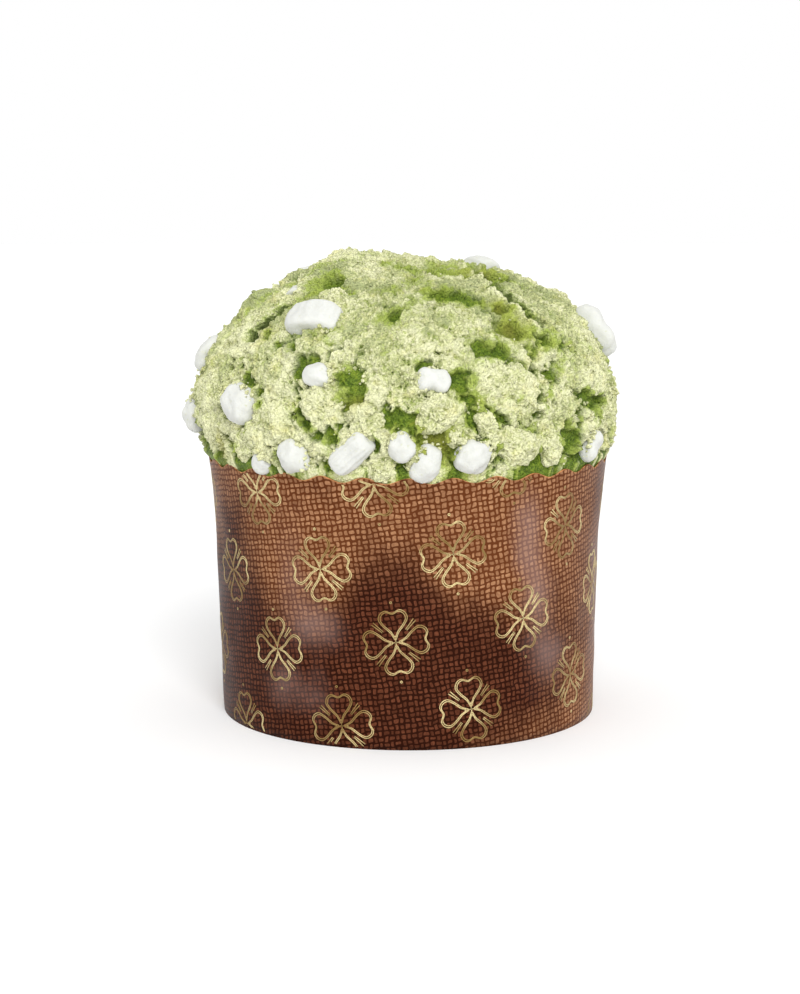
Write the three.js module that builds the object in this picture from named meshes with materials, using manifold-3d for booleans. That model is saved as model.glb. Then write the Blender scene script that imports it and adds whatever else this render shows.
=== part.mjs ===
// A one-kilogram panettone in its paper baking case.
// The loaf is one baked piece: it fills the case and rises above the rim as a dome with a crumble crust.
// Marshmallows and loose lumps of crumble are pressed into the dome, each in a pocket of its own.
// Millimetres, +Z up. The origin is the centre of the case's base, on the surface that it stands on.
// Longitude 0 is the front, -Y, and 90 is the right, +X. Latitude is measured from the dome's widest level.

import * as THREE from "three";
import { mergeVertices } from "three/addons/utils/BufferGeometryUtils.js";
import Module from "manifold-3d";

const wasm = await Module();
wasm.setup();

// ---- driving dimensions ----

const GAP = 0.3; // clearance between touching pieces

const CASE = {
  height: 111, // mean height of the rim
  baseRadius: 81, // outside, at the table
  taper: 3.4, // how much wider the wall is at the rim, before the lip flares
  flare: 1.8, // how far the risen dough pushes the lip out
  flarePower: 8,
  paper: 0.5, // thickness of the laminated paper
  scallops: 30, // waves cut round the rim
  scallopRise: 1.2,
  seamWidth: 12, // glued overlap of the wall strip, at the back
  segments: 120,
};

const BASE = {
  lift: 0.6, // thickness of the base board
  flangeHeight: 6, // upturned edge, glued inside the wall
  cornerRadius: 1.5,
  segments: 48,
};

const DOME = {
  centre: 132, // height of the widest level
  radius: 89,
  rise: 63, // from the widest level to the crown
  drop: 63, // half-height of the same curve carried on below
  power: 2.3, // 2 is an ellipse; more is squarer
  foot: 113.4, // where the dough turns out over the rim
  latitudeSteps: 12,
  segments: 48,
};

const LOAF = {
  underside: 1.2,
  cornerRadius: 7,
  neck: 85.1, // radius where the loaf leaves the case
  neckHeight: 112.8,
};

// Broad swells of the risen dome: where each lies, how far it spreads, and how high it stands.
const SWELLS = [
  { longitude: -95, latitude: 66, spread: 24, height: 5.5 },
  { longitude: 20, latitude: 66, spread: 22, height: -4 },
  { longitude: -92, latitude: 0, spread: 30, height: 2.6 },
  { longitude: -80, latitude: 38, spread: 20, height: -4.5 },
];

// Marshmallows on the front: longitude, latitude, [length, width, thickness], turn, depth sunk.
const FRONT_MARSHMALLOWS = [
  [-33, 30.5, [24.5, 13, 12.5], 6, 1.5],
  [-87, 15, [16, 12, 10], 82, 0.5],
  [-86, -2, [15, 12, 11], 70, 0],
  [-51, 4.5, [16, 16, 13], 78, 1],
  [-25, 13.5, [12, 10, 9], 10, 1.5],
  [6.5, 12.5, [12, 10, 9], -8, 1],
  [-32, -8.5, [13, 11, 10], 75, 1.5],
  [-44, -11, [9.5, 8, 8], 30, 2.5],
  [-15, -6.5, [19.5, 11, 10.5], 40, 1.5],
  [-1.5, -4.5, [12, 10, 9.5], -50, 1],
  [4.5, -9.5, [15, 10.5, 10], 38, 2.5],
  [17, -7.5, [15, 12.5, 11], 28, 1],
  [60, -7.5, [14, 9, 8], 55, 1],
  [87, 22.5, [25, 15, 12], 84, -0.5],
  [108, 61, [15, 12, 10], 20, 1],
  [-60, 43, [8, 6.5, 6], 40, 1.5],
];

// Marshmallows scattered over the back by the golden angle.
const BACK_MARSHMALLOWS = {
  count: 10,
  from: 110,
  sweep: 160,
  lowest: -7,
  highest: 56,
  shortest: 12,
  longest: 21,
};

// Loose lumps of crumble on the front: longitude, latitude, [width, height, thickness], turn, depth sunk.
const FRONT_LUMPS = [
  [8, 4, [16, 15, 10], 20, 2.5],
  [12.5, -2.5, [9, 8, 7], 0, 2],
  [21, 0.5, [10, 12, 8], 30, 2],
  [-24, 6, [19, 13, 9], 15, 3],
  [-39, 0.5, [14, 17, 9], 10, 3],
  [-8, -11, [12, 7, 7], 0, 2.5],
  [29, -5, [21, 14, 9], -10, 3],
  [29, 10, [21, 23, 10], 35, 4],
  [-50, -6, [15, 13, 9], 25, 3],
  [-12, 1.5, [17, 12, 9], -15, 3],
  [42, -7, [16, 12, 8], 5, 2.5],
  [-30, 40, [15, 8, 8], 8, 2],
];

// Lumps scattered over the rest of the dome by the golden angle.
const BACK_LUMPS = {
  count: 7,
  from: 100,
  sweep: 140,
  lowest: -7,
  highest: 43,
  smallest: 12,
  largest: 20,
};

const TOPPING_FACETS = [8, 6]; // segments round and rings down each topping
const MARSHMALLOW_SQUARENESS = 3.2; // 2 is an ellipsoid; more is squarer
const LUMP_SQUARENESS = 2.4;
const SMOOTHING = 0.1; // slivers smaller than this are merged away
const GOLDEN_ANGLE = 137.508;
const GOLDEN_SHARE = 0.618034;

// ---- materials ----

const matt = (color, roughness) =>
  new THREE.MeshStandardMaterial({ color, roughness, metalness: 0 });

const PAPER = matt(0x6b3a24, 0.45);
const CRUST = matt(0xc3d294, 0.92);
const CRUMBLE = matt(0xd3dfa6, 0.95);
const MARSHMALLOW = matt(0xf1f2f0, 0.8);

// ---- solids ----

// The closed surface of a geometry as a solid that can be cut and joined.
function solidOf(geometry) {
  const bare = geometry.clone();
  bare.deleteAttribute("normal");
  bare.deleteAttribute("uv");
  const merged = mergeVertices(bare, 1e-3);
  return new wasm.Manifold(
    new wasm.Mesh({
      numProp: 3,
      vertProperties: merged.attributes.position.array,
      triVerts: new Uint32Array(merged.index.array),
    }),
  );
}

function geometryOf(solid) {
  const { vertProperties, triVerts } = solid.getMesh();
  return new THREE.BufferGeometry()
    .setAttribute("position", new THREE.BufferAttribute(vertProperties, 3))
    .setIndex(new THREE.BufferAttribute(triVerts, 1));
}

const largestPiece = (solid) => solid.decompose().sort((a, b) => b.volume() - a.volume())[0];

// A profile of [radius, height] pairs turned about +Z, with every vertex then passed through shift.
function turned(profile, segments, shift) {
  const outline = profile.map(([radius, height]) => new THREE.Vector2(radius, height));
  const geometry = new THREE.LatheGeometry(outline, segments).rotateX(Math.PI / 2);
  const position = geometry.attributes.position;
  const vertex = new THREE.Vector3();
  for (let i = 0; i < position.count; i++) {
    shift(vertex.fromBufferAttribute(position, i));
    position.setXYZ(i, vertex.x, vertex.y, vertex.z);
  }
  return geometry;
}

const longitudeOf = (vertex) => Math.atan2(vertex.x, -vertex.y);

// Moves a vertex out from the Z axis.
function widen(vertex, amount) {
  const radius = Math.hypot(vertex.x, vertex.y);
  if (radius > GAP) {
    vertex.x *= 1 + amount / radius;
    vertex.y *= 1 + amount / radius;
  }
}

// ---- the paper case ----

// Outside radius of a perfectly round wall at a height.
function wallRadius(height) {
  const share = height / CASE.height;
  return CASE.baseRadius + CASE.taper * share + CASE.flare * share ** CASE.flarePower;
}

// Soft dents where the paper has buckled, fading to nothing at the glued base.
function buckle(longitude, height) {
  const share = Math.min(1, Math.max(0, height / CASE.height));
  return (
    0.5 * share * Math.sin(3 * longitude + 0.6) +
    0.4 * Math.sin(Math.PI * share) * Math.sin(5 * longitude + 2 + 3 * share)
  );
}

function caseWall() {
  const outside = [0, 60, 92, 104, CASE.height].map((z) => [wallRadius(z), z]);
  const inside = outside.map(([radius, z]) => [radius - CASE.paper, z]).reverse();
  const profile = [...outside, ...inside, outside[0]];
  const seamHalf = CASE.seamWidth / 2 / CASE.baseRadius;
  return turned(profile, CASE.segments, (vertex) => {
    const longitude = longitudeOf(vertex);
    const outer = Math.hypot(vertex.x, vertex.y) > wallRadius(vertex.z) - CASE.paper / 2;
    const onSeam = Math.PI - Math.abs(longitude) < seamHalf;
    widen(vertex, buckle(longitude, vertex.z) + (outer && onSeam ? CASE.paper : 0));
    if (vertex.z > CASE.height - GAP)
      vertex.z += CASE.scallopRise * Math.cos(CASE.scallops * longitude);
  });
}

function caseBase() {
  const outer = CASE.baseRadius - CASE.paper - GAP;
  const inner = outer - CASE.paper;
  const bend = BASE.cornerRadius;
  const profile = [
    [0, 0],
    [outer - bend, 0],
    [outer, bend],
    [outer, BASE.flangeHeight],
    [inner, BASE.flangeHeight],
    [inner, bend + BASE.lift / 2],
    [inner - bend, BASE.lift],
    [0, BASE.lift],
  ];
  return turned(profile, BASE.segments, () => {});
}

// ---- the loaf ----

// Unit vector from the dome's centre towards a longitude and latitude.
function direction(longitude, latitude) {
  const across = Math.cos(latitude);
  return new THREE.Vector3(
    across * Math.sin(longitude),
    -across * Math.cos(longitude),
    Math.sin(latitude),
  );
}

const swells = SWELLS.map(({ longitude, latitude, spread, height }) => ({
  towards: direction(THREE.MathUtils.degToRad(longitude), THREE.MathUtils.degToRad(latitude)),
  spread: THREE.MathUtils.degToRad(spread),
  height,
}));

// Distance from the dome's centre to its surface: a superellipse turned about Z, with the swells added.
function domeReach(longitude, latitude) {
  const up = Math.sin(latitude);
  const halfHeight = up > 0 ? DOME.rise : DOME.drop;
  const towards = direction(longitude, latitude);
  let reach =
    ((Math.cos(latitude) / DOME.radius) ** DOME.power +
      (Math.abs(up) / halfHeight) ** DOME.power) **
    (-1 / DOME.power);
  for (const swell of swells)
    reach += swell.height * Math.exp(-((towards.angleTo(swell.towards) / swell.spread) ** 2));
  return reach;
}

function domePoint(longitude, latitude, below = 0) {
  return direction(longitude, latitude)
    .multiplyScalar(domeReach(longitude, latitude) - below)
    .add(new THREE.Vector3(0, 0, DOME.centre));
}

function loaf() {
  const clearance = CASE.paper + GAP;
  const corner = LOAF.cornerRadius;
  const bottomRadius = CASE.baseRadius - 2 * clearance;
  const cornerAngles = [0, 45, 90].map(THREE.MathUtils.degToRad);
  const profile = [[0, LOAF.underside]];
  for (const angle of cornerAngles)
    profile.push([
      bottomRadius - corner + corner * Math.sin(angle),
      LOAF.underside + corner - corner * Math.cos(angle),
    ]);
  for (const z of [60, 92, 104, 109]) profile.push([wallRadius(z) - clearance, z]);
  profile.push([LOAF.neck, LOAF.neckHeight]);
  const footLatitude = Math.asin((DOME.foot - DOME.centre) / DOME.radius);
  for (let step = 0; step <= DOME.latitudeSteps; step++) {
    const share = step / DOME.latitudeSteps;
    const latitude = footLatitude + (Math.PI / 2 - footLatitude) * share;
    const reach = domeReach(0, latitude);
    profile.push([
      step === DOME.latitudeSteps ? 0 : reach * Math.cos(latitude),
      DOME.centre + reach * Math.sin(latitude),
    ]);
  }
  return turned(profile, DOME.segments, (vertex) => {
    const longitude = longitudeOf(vertex);
    if (vertex.z < LOAF.neckHeight + GAP / 2) {
      widen(vertex, buckle(longitude, vertex.z));
      return;
    }
    const latitude = Math.atan2(vertex.z - DOME.centre, Math.hypot(vertex.x, vertex.y));
    vertex.copy(domePoint(longitude, latitude));
    vertex.z = Math.max(vertex.z, DOME.foot);
  });
}

// Everything that the rim of the case needs to itself, so that no topping passes through the paper.
function rimRoom() {
  const within = LOAF.neck - 1;
  const beyond = DOME.radius * 1.5;
  const below = CASE.height - 25;
  const above = LOAF.neckHeight;
  const profile = [
    [within, below],
    [beyond, below],
    [beyond, above],
    [within, above],
    [within, below],
  ];
  return solidOf(turned(profile, CASE.segments, () => {}));
}

// ---- the toppings ----

// A sphere squared up towards a box of the given size, then grown on every side.
function roundedBlock([length, width, thickness], squareness, grown, rough = () => 0) {
  const geometry = new THREE.SphereGeometry(1, ...TOPPING_FACETS);
  const position = geometry.attributes.position;
  const vertex = new THREE.Vector3();
  for (let i = 0; i < position.count; i++) {
    vertex.fromBufferAttribute(position, i);
    const sum = ["x", "y", "z"].reduce((s, k) => s + Math.abs(vertex[k]) ** squareness, 0);
    const scale = sum ** (-1 / squareness) * (1 + rough(vertex));
    position.setXYZ(
      i,
      vertex.x * scale * (length / 2 + grown),
      vertex.y * scale * (width / 2 + grown),
      vertex.z * scale * (thickness / 2 + grown),
    );
  }
  return geometry;
}

// A frame on the dome: Z along the surface's way out, turned about it, with its origin sunk below.
function seatOn(longitudeDegrees, latitudeDegrees, turnDegrees, below) {
  const longitude = THREE.MathUtils.degToRad(longitudeDegrees);
  const latitude = THREE.MathUtils.degToRad(latitudeDegrees);
  const step = 0.01;
  const here = domePoint(longitude, latitude);
  const east = domePoint(longitude + step, latitude).sub(here).normalize();
  const north = domePoint(longitude, latitude + step).sub(here).normalize();
  const out = east.clone().cross(north).normalize();
  const frame = new THREE.Object3D();
  frame.position.copy(here).addScaledVector(out, -below);
  frame.quaternion.setFromRotationMatrix(
    new THREE.Matrix4().makeBasis(east, out.clone().cross(east), out),
  );
  frame.rotateZ(THREE.MathUtils.degToRad(turnDegrees));
  frame.updateMatrix();
  return frame;
}

const fraction = (value) => value - Math.floor(value);

function scattered({ count, from, sweep, lowest, highest }, sizeOf, below) {
  const list = [];
  for (let k = 0; k < count; k++) {
    const longitude = from + sweep * fraction((k * GOLDEN_ANGLE) / 360 + 0.1);
    const latitude = lowest + ((highest - lowest) * k) / (count - 1);
    list.push([longitude, latitude, sizeOf(fraction(k * GOLDEN_SHARE + 0.3)), k * 47, below]);
  }
  return list;
}

const marshmallowPlaces = [
  ...FRONT_MARSHMALLOWS,
  ...scattered(
    BACK_MARSHMALLOWS,
    (share) => {
      const { shortest, longest } = BACK_MARSHMALLOWS;
      const length = shortest + (longest - shortest) * share;
      return [length, length * 0.72, length * 0.58];
    },
    1,
  ),
];

const lumpPlaces = [
  ...FRONT_LUMPS,
  ...scattered(
    BACK_LUMPS,
    (share) => {
      const { smallest, largest } = BACK_LUMPS;
      const width = smallest + (largest - smallest) * share;
      return [width, width * 0.8, width * 0.5];
    },
    2.5,
  ),
];

// The dents and bulges of a hand-pressed lump of crumble, different for each.
const lumpRoughness = (index) => (vertex) =>
  0.09 * Math.sin(4 * vertex.x + 2.1 * index) +
  0.08 * Math.sin(5 * vertex.y + 1.3 * index + 2 * vertex.z) +
  0.06 * Math.sin(7 * vertex.z + 0.7 * index + 3 * vertex.x);

const toppings = [
  ...marshmallowPlaces.map(([longitude, latitude, size, turn, below], index) => ({
    name: `marshmallow_${String(index + 1).padStart(2, "0")}`,
    frame: seatOn(longitude, latitude, turn, below),
    shape: (grown) => roundedBlock(size, MARSHMALLOW_SQUARENESS, grown),
    finish: MARSHMALLOW,
  })),
  ...lumpPlaces.map(([longitude, latitude, size, turn, below], index) => ({
    name: `crumble_lump_${String(index + 1).padStart(2, "0")}`,
    frame: seatOn(longitude, latitude, turn, below),
    shape: (grown) => roundedBlock(size, LUMP_SQUARENESS, grown, lumpRoughness(index)),
    finish: CRUMBLE,
  })),
];

// ---- the assembly ----

const panettone = new THREE.Group();

function addMesh(name, geometry, material, frame) {
  const mesh = new THREE.Mesh(geometry, material);
  mesh.name = name;
  if (frame) {
    mesh.position.copy(frame.position);
    mesh.quaternion.copy(frame.quaternion);
  }
  panettone.add(mesh);
}

addMesh("paper_case_wall", caseWall(), PAPER);
addMesh("paper_case_base", caseBase(), PAPER);

let loafSolid = solidOf(loaf());
const reserved = [rimRoom()]; // what each new topping has to stay clear of

for (const { name, frame, shape, finish } of toppings) {
  let solid = solidOf(shape(0).applyMatrix4(frame.matrix));
  for (const taken of reserved) solid = solid.subtract(taken);
  const pocket = solidOf(shape(GAP).applyMatrix4(frame.matrix));
  reserved.push(pocket);
  loafSolid = loafSolid.subtract(pocket);
  const inward = frame.matrix.clone().invert();
  addMesh(name, geometryOf(largestPiece(solid)).applyMatrix4(inward), finish, frame);
}

addMesh("bread_loaf", geometryOf(largestPiece(loafSolid).simplify(SMOOTHING)), CRUST);

export default panettone;
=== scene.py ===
"""A one-kilogram panettone in a paper baking case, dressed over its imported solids.

The dome of the loaf carries a pale green crumble over a brighter green glaze, with lumps of crumble,
loose crumbs and marshmallows pressed into it. The case is a strip of laminated brown paper with a
sackcloth print and a gold ornament. Shapes are worked out in millimetres and stored in metres.
Longitude 0 is the front, -Y, and 90 degrees is the right, +X. Latitude is measured from the dome's
widest level.
"""

import logging
import math
from dataclasses import dataclass, field
from enum import Enum
from typing import ClassVar

import bpy
import numpy as np
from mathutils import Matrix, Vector


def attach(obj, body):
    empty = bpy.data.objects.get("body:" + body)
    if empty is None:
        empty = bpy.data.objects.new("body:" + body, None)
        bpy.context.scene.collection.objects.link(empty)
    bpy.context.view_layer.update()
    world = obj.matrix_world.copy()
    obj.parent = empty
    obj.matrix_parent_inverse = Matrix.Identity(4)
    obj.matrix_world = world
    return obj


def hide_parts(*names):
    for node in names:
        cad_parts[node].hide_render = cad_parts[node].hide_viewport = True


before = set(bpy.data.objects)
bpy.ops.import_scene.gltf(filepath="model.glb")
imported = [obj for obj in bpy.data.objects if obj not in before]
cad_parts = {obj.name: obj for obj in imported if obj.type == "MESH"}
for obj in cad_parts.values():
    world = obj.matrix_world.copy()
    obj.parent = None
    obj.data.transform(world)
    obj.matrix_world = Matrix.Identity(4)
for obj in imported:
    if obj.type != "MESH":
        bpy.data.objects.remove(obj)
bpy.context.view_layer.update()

log = logging.getLogger("panettone")

MM = 0.001
BODY = "root"
PRINT_TURN = 7.5  # degrees that the whole print is turned by on the sheet
Array = np.ndarray
Socket = bpy.types.NodeSocket


# ---- numbers in arrays ----


def smoothstep(low: float, high: float, value: Array) -> Array:
    """A soft step from 0 at low to 1 at high: 3t^2 - 2t^3 of the clipped share t.

    Args:
        low: Where the step starts.
        high: Where it ends; it may be lower than low.
        value: The values to step.

    Returns:
        The stepped values, from 0 to 1.
    """
    share = np.clip((value - low) / (high - low), 0.0, 1.0)
    return share * share * (3.0 - 2.0 * share)


def bell(distance: Array, spread: float) -> Array:
    """A bell curve, exp(-(distance / spread)^2)."""
    return np.exp(-((distance / spread) ** 2))


def unit(vectors: Array) -> Array:
    """The vectors at length 1."""
    return vectors / np.linalg.norm(vectors, axis=-1, keepdims=True)


def spin(turn: float) -> Array:
    """A matrix that turns rows of points on a sheet by an angle in radians."""
    return np.array([[math.cos(turn), math.sin(turn)], [-math.sin(turn), math.cos(turn)]])


def each(kind: type, *rows: tuple[float, ...]) -> tuple:
    """One of a kind for each row of numbers."""
    return tuple(kind(*row) for row in rows)


@dataclass(frozen=True)
class Grain:
    """Repeatable noise in space, made from a hash of the lattice cell that a point is in.

    Attributes:
        seed: Tells one field of noise from another.
    """

    seed: int

    def fraction(self, cell: Array, salt: int = 0) -> Array:
        """A fraction from 0 to 1 for each cell, by multiplying its whole numbers and folding the bits.

        Args:
            cell: Whole numbers, the last axis being x, y and z.
            salt: Gives one cell several independent fractions.

        Returns:
            One fraction for each cell.
        """
        whole = cell.astype(np.int64).astype(np.uint64)
        mixed = whole[..., 0] * np.uint64(0x9E3779B185EBCA87)
        mixed ^= whole[..., 1] * np.uint64(0xC2B2AE3D27D4EB4F)
        mixed ^= whole[..., 2] * np.uint64(0x165667B19E3779F9)
        mixed ^= np.uint64(self.seed * 1_000_003 + salt * 7919)
        for factor in (0xFF51AFD7ED558CCD, 0xC4CEB9FE1A85EC53):
            mixed ^= mixed >> np.uint64(33)
            mixed *= np.uint64(factor)
        mixed ^= mixed >> np.uint64(33)
        return (mixed >> np.uint64(40)).astype(float) / 2.0**24

    def smooth(self, points: Array, size: float) -> Array:
        """Smooth noise from -1 to 1: the cells' corner fractions, blended by 6t^5 - 15t^4 + 10t^3.

        Args:
            points: Places in millimetres, the last axis being x, y and z.
            size: Length of a lattice cell.

        Returns:
            One value for each point.
        """
        scaled = points / size
        cell = np.floor(scaled)
        t = scaled - cell
        t = t * t * t * (t * (t * 6.0 - 15.0) + 10.0)
        total = np.zeros(points.shape[:-1])
        for corner in np.ndindex(2, 2, 2):
            weight = np.prod(np.where(np.array(corner) == 1, t, 1.0 - t), axis=-1)
            total += weight * self.fraction(cell + np.array(corner))
        return total * 2.0 - 1.0

    def fractal(self, points: Array, size: float, octaves: int = 3) -> Array:
        """Smooth noise at several sizes, each half as large and half as strong as the last.

        Args:
            points: Places in millimetres.
            size: Largest lattice cell.
            octaves: How many sizes are added.

        Returns:
            One value for each point, mostly from -1 to 1.
        """
        total = np.zeros(points.shape[:-1])
        for octave in range(octaves):
            total += Grain(self.seed + 31 * octave).smooth(points, size / 2**octave) / 2**octave
        return total

    def pebbles(self, points: Array, size: float) -> tuple[Array, Array, Array]:
        """Packed pebbles: each point belongs to the nearest of the seeds, one in each lattice cell.

        A pebble stands 1 - (distance to its seed)^2 high, so neighbours meet in a crease.

        Args:
            points: Places in millimetres.
            size: Length of a lattice cell, about a pebble's width.

        Returns:
            The pebble's height from 0 to 1, how far the point is from the crease, and a fraction that
            is the same all over one pebble.
        """
        scaled = points / size
        cell = np.floor(scaled)
        nearest = np.full(points.shape[:-1], 9.0)
        second = nearest.copy()
        tint = np.zeros_like(nearest)
        for step in np.ndindex(3, 3, 3):
            home = cell + np.array(step) - 1.0
            seeds = np.stack([self.fraction(home, salt) for salt in (1, 2, 3)], axis=-1)
            distance = np.linalg.norm(scaled - home - 0.1 - 0.8 * seeds, axis=-1)
            closer = distance < nearest
            second = np.where(closer, nearest, np.minimum(second, distance))
            tint = np.where(closer, self.fraction(home, 4), tint)
            nearest = np.minimum(nearest, distance)
        return np.clip(1.0 - nearest**2, 0.0, 1.0), second - nearest, tint

    def granules(self, points: Array, size: float, soft: float = 0.3) -> tuple[Array, Array]:
        """Broken granules: pebbles with steep sides, each standing at a height of its own.

        A granule is half a dome and half a plateau, 0.5 (1 - d^2) + 0.5 step(distance to the crease).

        Args:
            points: Places in millimetres.
            size: About a granule's width.
            soft: How far its side reaches in from the crease, as a share of its width.

        Returns:
            A height from -0.5 to 0.5 within each granule, and another that is the same all over it.
        """
        dome, crease, tint = self.pebbles(points, size)
        return 0.5 * dome + 0.5 * smoothstep(0.0, soft, crease) - 0.6, tint - 0.5


# ---- meshes ----


@dataclass
class Surface:
    """Points in millimetres and the faces between them.

    Attributes:
        points: One row of x, y and z for each vertex.
        quads: Four vertex numbers for each four-sided face.
        triangles: Three vertex numbers for each three-sided face.
        marks: Named values, one for each vertex, which the finishes read.
        flat: How many of the last triangles are flat, with sharp edges.
    """

    points: Array
    quads: Array = field(default_factory=lambda: np.zeros((0, 4), int))
    triangles: Array = field(default_factory=lambda: np.zeros((0, 3), int))
    marks: dict[str, Array] = field(default_factory=dict)
    flat: int = 0

    def piece(self, name: str, material: bpy.types.Material, uv: Array | None = None) -> bpy.types.Object:
        """Makes the surface an object of its own at the origin, smooth shaded.

        Args:
            name: The piece's name.
            material: Its finish.
            uv: Two coordinates for each vertex, if the finish follows a sheet.

        Returns:
            The new object, linked to the scene.
        """
        mesh = bpy.data.meshes.new(name)
        mesh.vertices.add(len(self.points))
        mesh.vertices.foreach_set("co", (self.points * MM).astype(np.float32).ravel())
        corners = np.concatenate([self.quads.ravel(), self.triangles.ravel()]).astype(np.int32)
        sizes = np.repeat([4, 3], [len(self.quads), len(self.triangles)])
        mesh.loops.add(len(corners))
        mesh.loops.foreach_set("vertex_index", corners)
        mesh.polygons.add(len(sizes))
        mesh.polygons.foreach_set("loop_start", (np.cumsum(sizes) - sizes).astype(np.int32))
        mesh.polygons.foreach_set("use_smooth", np.arange(len(sizes)) < len(sizes) - self.flat)
        mesh.update(calc_edges=True)
        if uv is not None:
            layer = mesh.uv_layers.new(name="sheet")
            layer.data.foreach_set("uv", uv[corners].astype(np.float32).ravel())
        for mark, values in self.marks.items():
            attribute = mesh.attributes.new(mark, "FLOAT", "POINT")
            attribute.data.foreach_set("value", values.astype(np.float32))
        mesh.materials.append(material)
        made = bpy.data.objects.new(name, mesh)
        bpy.context.scene.collection.objects.link(made)
        return made


def lattice(rows: int, columns: int, wrap_rows: bool = False, wrap_columns: bool = False) -> Array:
    """Quads between neighbouring points of a grid that is numbered row by row.

    Args:
        rows: Number of rows.
        columns: Number of columns.
        wrap_rows: Whether the last row joins the first.
        wrap_columns: Whether the last column joins the first.

    Returns:
        Four vertex numbers for each quad, turning the same way.
    """
    row = np.arange(rows if wrap_rows else rows - 1)[:, None]
    column = np.arange(columns if wrap_columns else columns - 1)[None, :]
    below, above = row * columns, (row + 1) % rows * columns
    right = (column + 1) % columns
    corners = np.broadcast_arrays(below + column, below + right, above + right, above + column)
    return np.stack(corners, axis=-1).reshape(-1, 4)


def joined(surfaces: list[Surface]) -> Surface:
    """Several surfaces of quads as one.

    Args:
        surfaces: The surfaces, in order.

    Returns:
        The one surface.
    """
    starts = np.cumsum([0] + [len(surface.points) for surface in surfaces[:-1]])
    quads = [surface.quads + start for surface, start in zip(surfaces, starts)]
    return Surface(np.concatenate([surface.points for surface in surfaces]), np.concatenate(quads))


def drum(rings: Array, low: tuple[float, ...], high: tuple[float, ...]) -> Surface:
    """Rings joined by quads and closed by a fan of triangles at each end.

    Args:
        rings: Rows of points, from the lower ring to the upper one.
        low: The point that closes the lower end.
        high: The point that closes the upper end.

    Returns:
        The closed surface.
    """
    rows, columns = rings.shape[:2]
    here = np.arange(columns)
    there, bottom, last = (here + 1) % columns, rows * columns, (rows - 1) * columns
    fans = [
        np.stack([np.full(columns, bottom), there, here], axis=-1),
        np.stack([np.full(columns, bottom + 1), last + here, last + there], axis=-1),
    ]
    points = np.concatenate([rings.reshape(-1, 3), [low, high]])
    return Surface(points, lattice(rows, columns, wrap_columns=True), np.concatenate(fans))


def globe(columns: int, rows: int) -> tuple[Array, Surface]:
    """A closed ball of quads with a fan of triangles at each pole.

    A point is (cos v cos u, cos v sin u, sin v), where u goes round and v from pole to pole.

    Args:
        columns: Points round each ring.
        rows: Rings between the poles.

    Returns:
        The directions of its vertices, and the surface at radius 1.
    """
    u = np.linspace(0.0, 2.0 * np.pi, columns, endpoint=False)[None, :]
    v = np.linspace(-0.5 * np.pi, 0.5 * np.pi, rows + 2)[1:-1, None]
    rings = np.stack([np.cos(v) * np.cos(u), np.cos(v) * np.sin(u), np.sin(v) + 0.0 * u], axis=-1)
    ball = drum(rings, (0.0, 0.0, -1.0), (0.0, 0.0, 1.0))
    return ball.points, ball


# ---- finishes ----


def ink(code: str) -> tuple[float, float, float, float]:
    """A hex colour as the linear red, green, blue and alpha that the shader works in.

    Args:
        code: Six hex digits.

    Returns:
        The four shares.
    """
    shares = [int(code[k : k + 2], 16) / 255.0 for k in (0, 2, 4)]
    linear = [s / 12.92 if s <= 0.04045 else ((s + 0.055) / 1.055) ** 2.4 for s in shares]
    return (*linear, 1.0)


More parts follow.
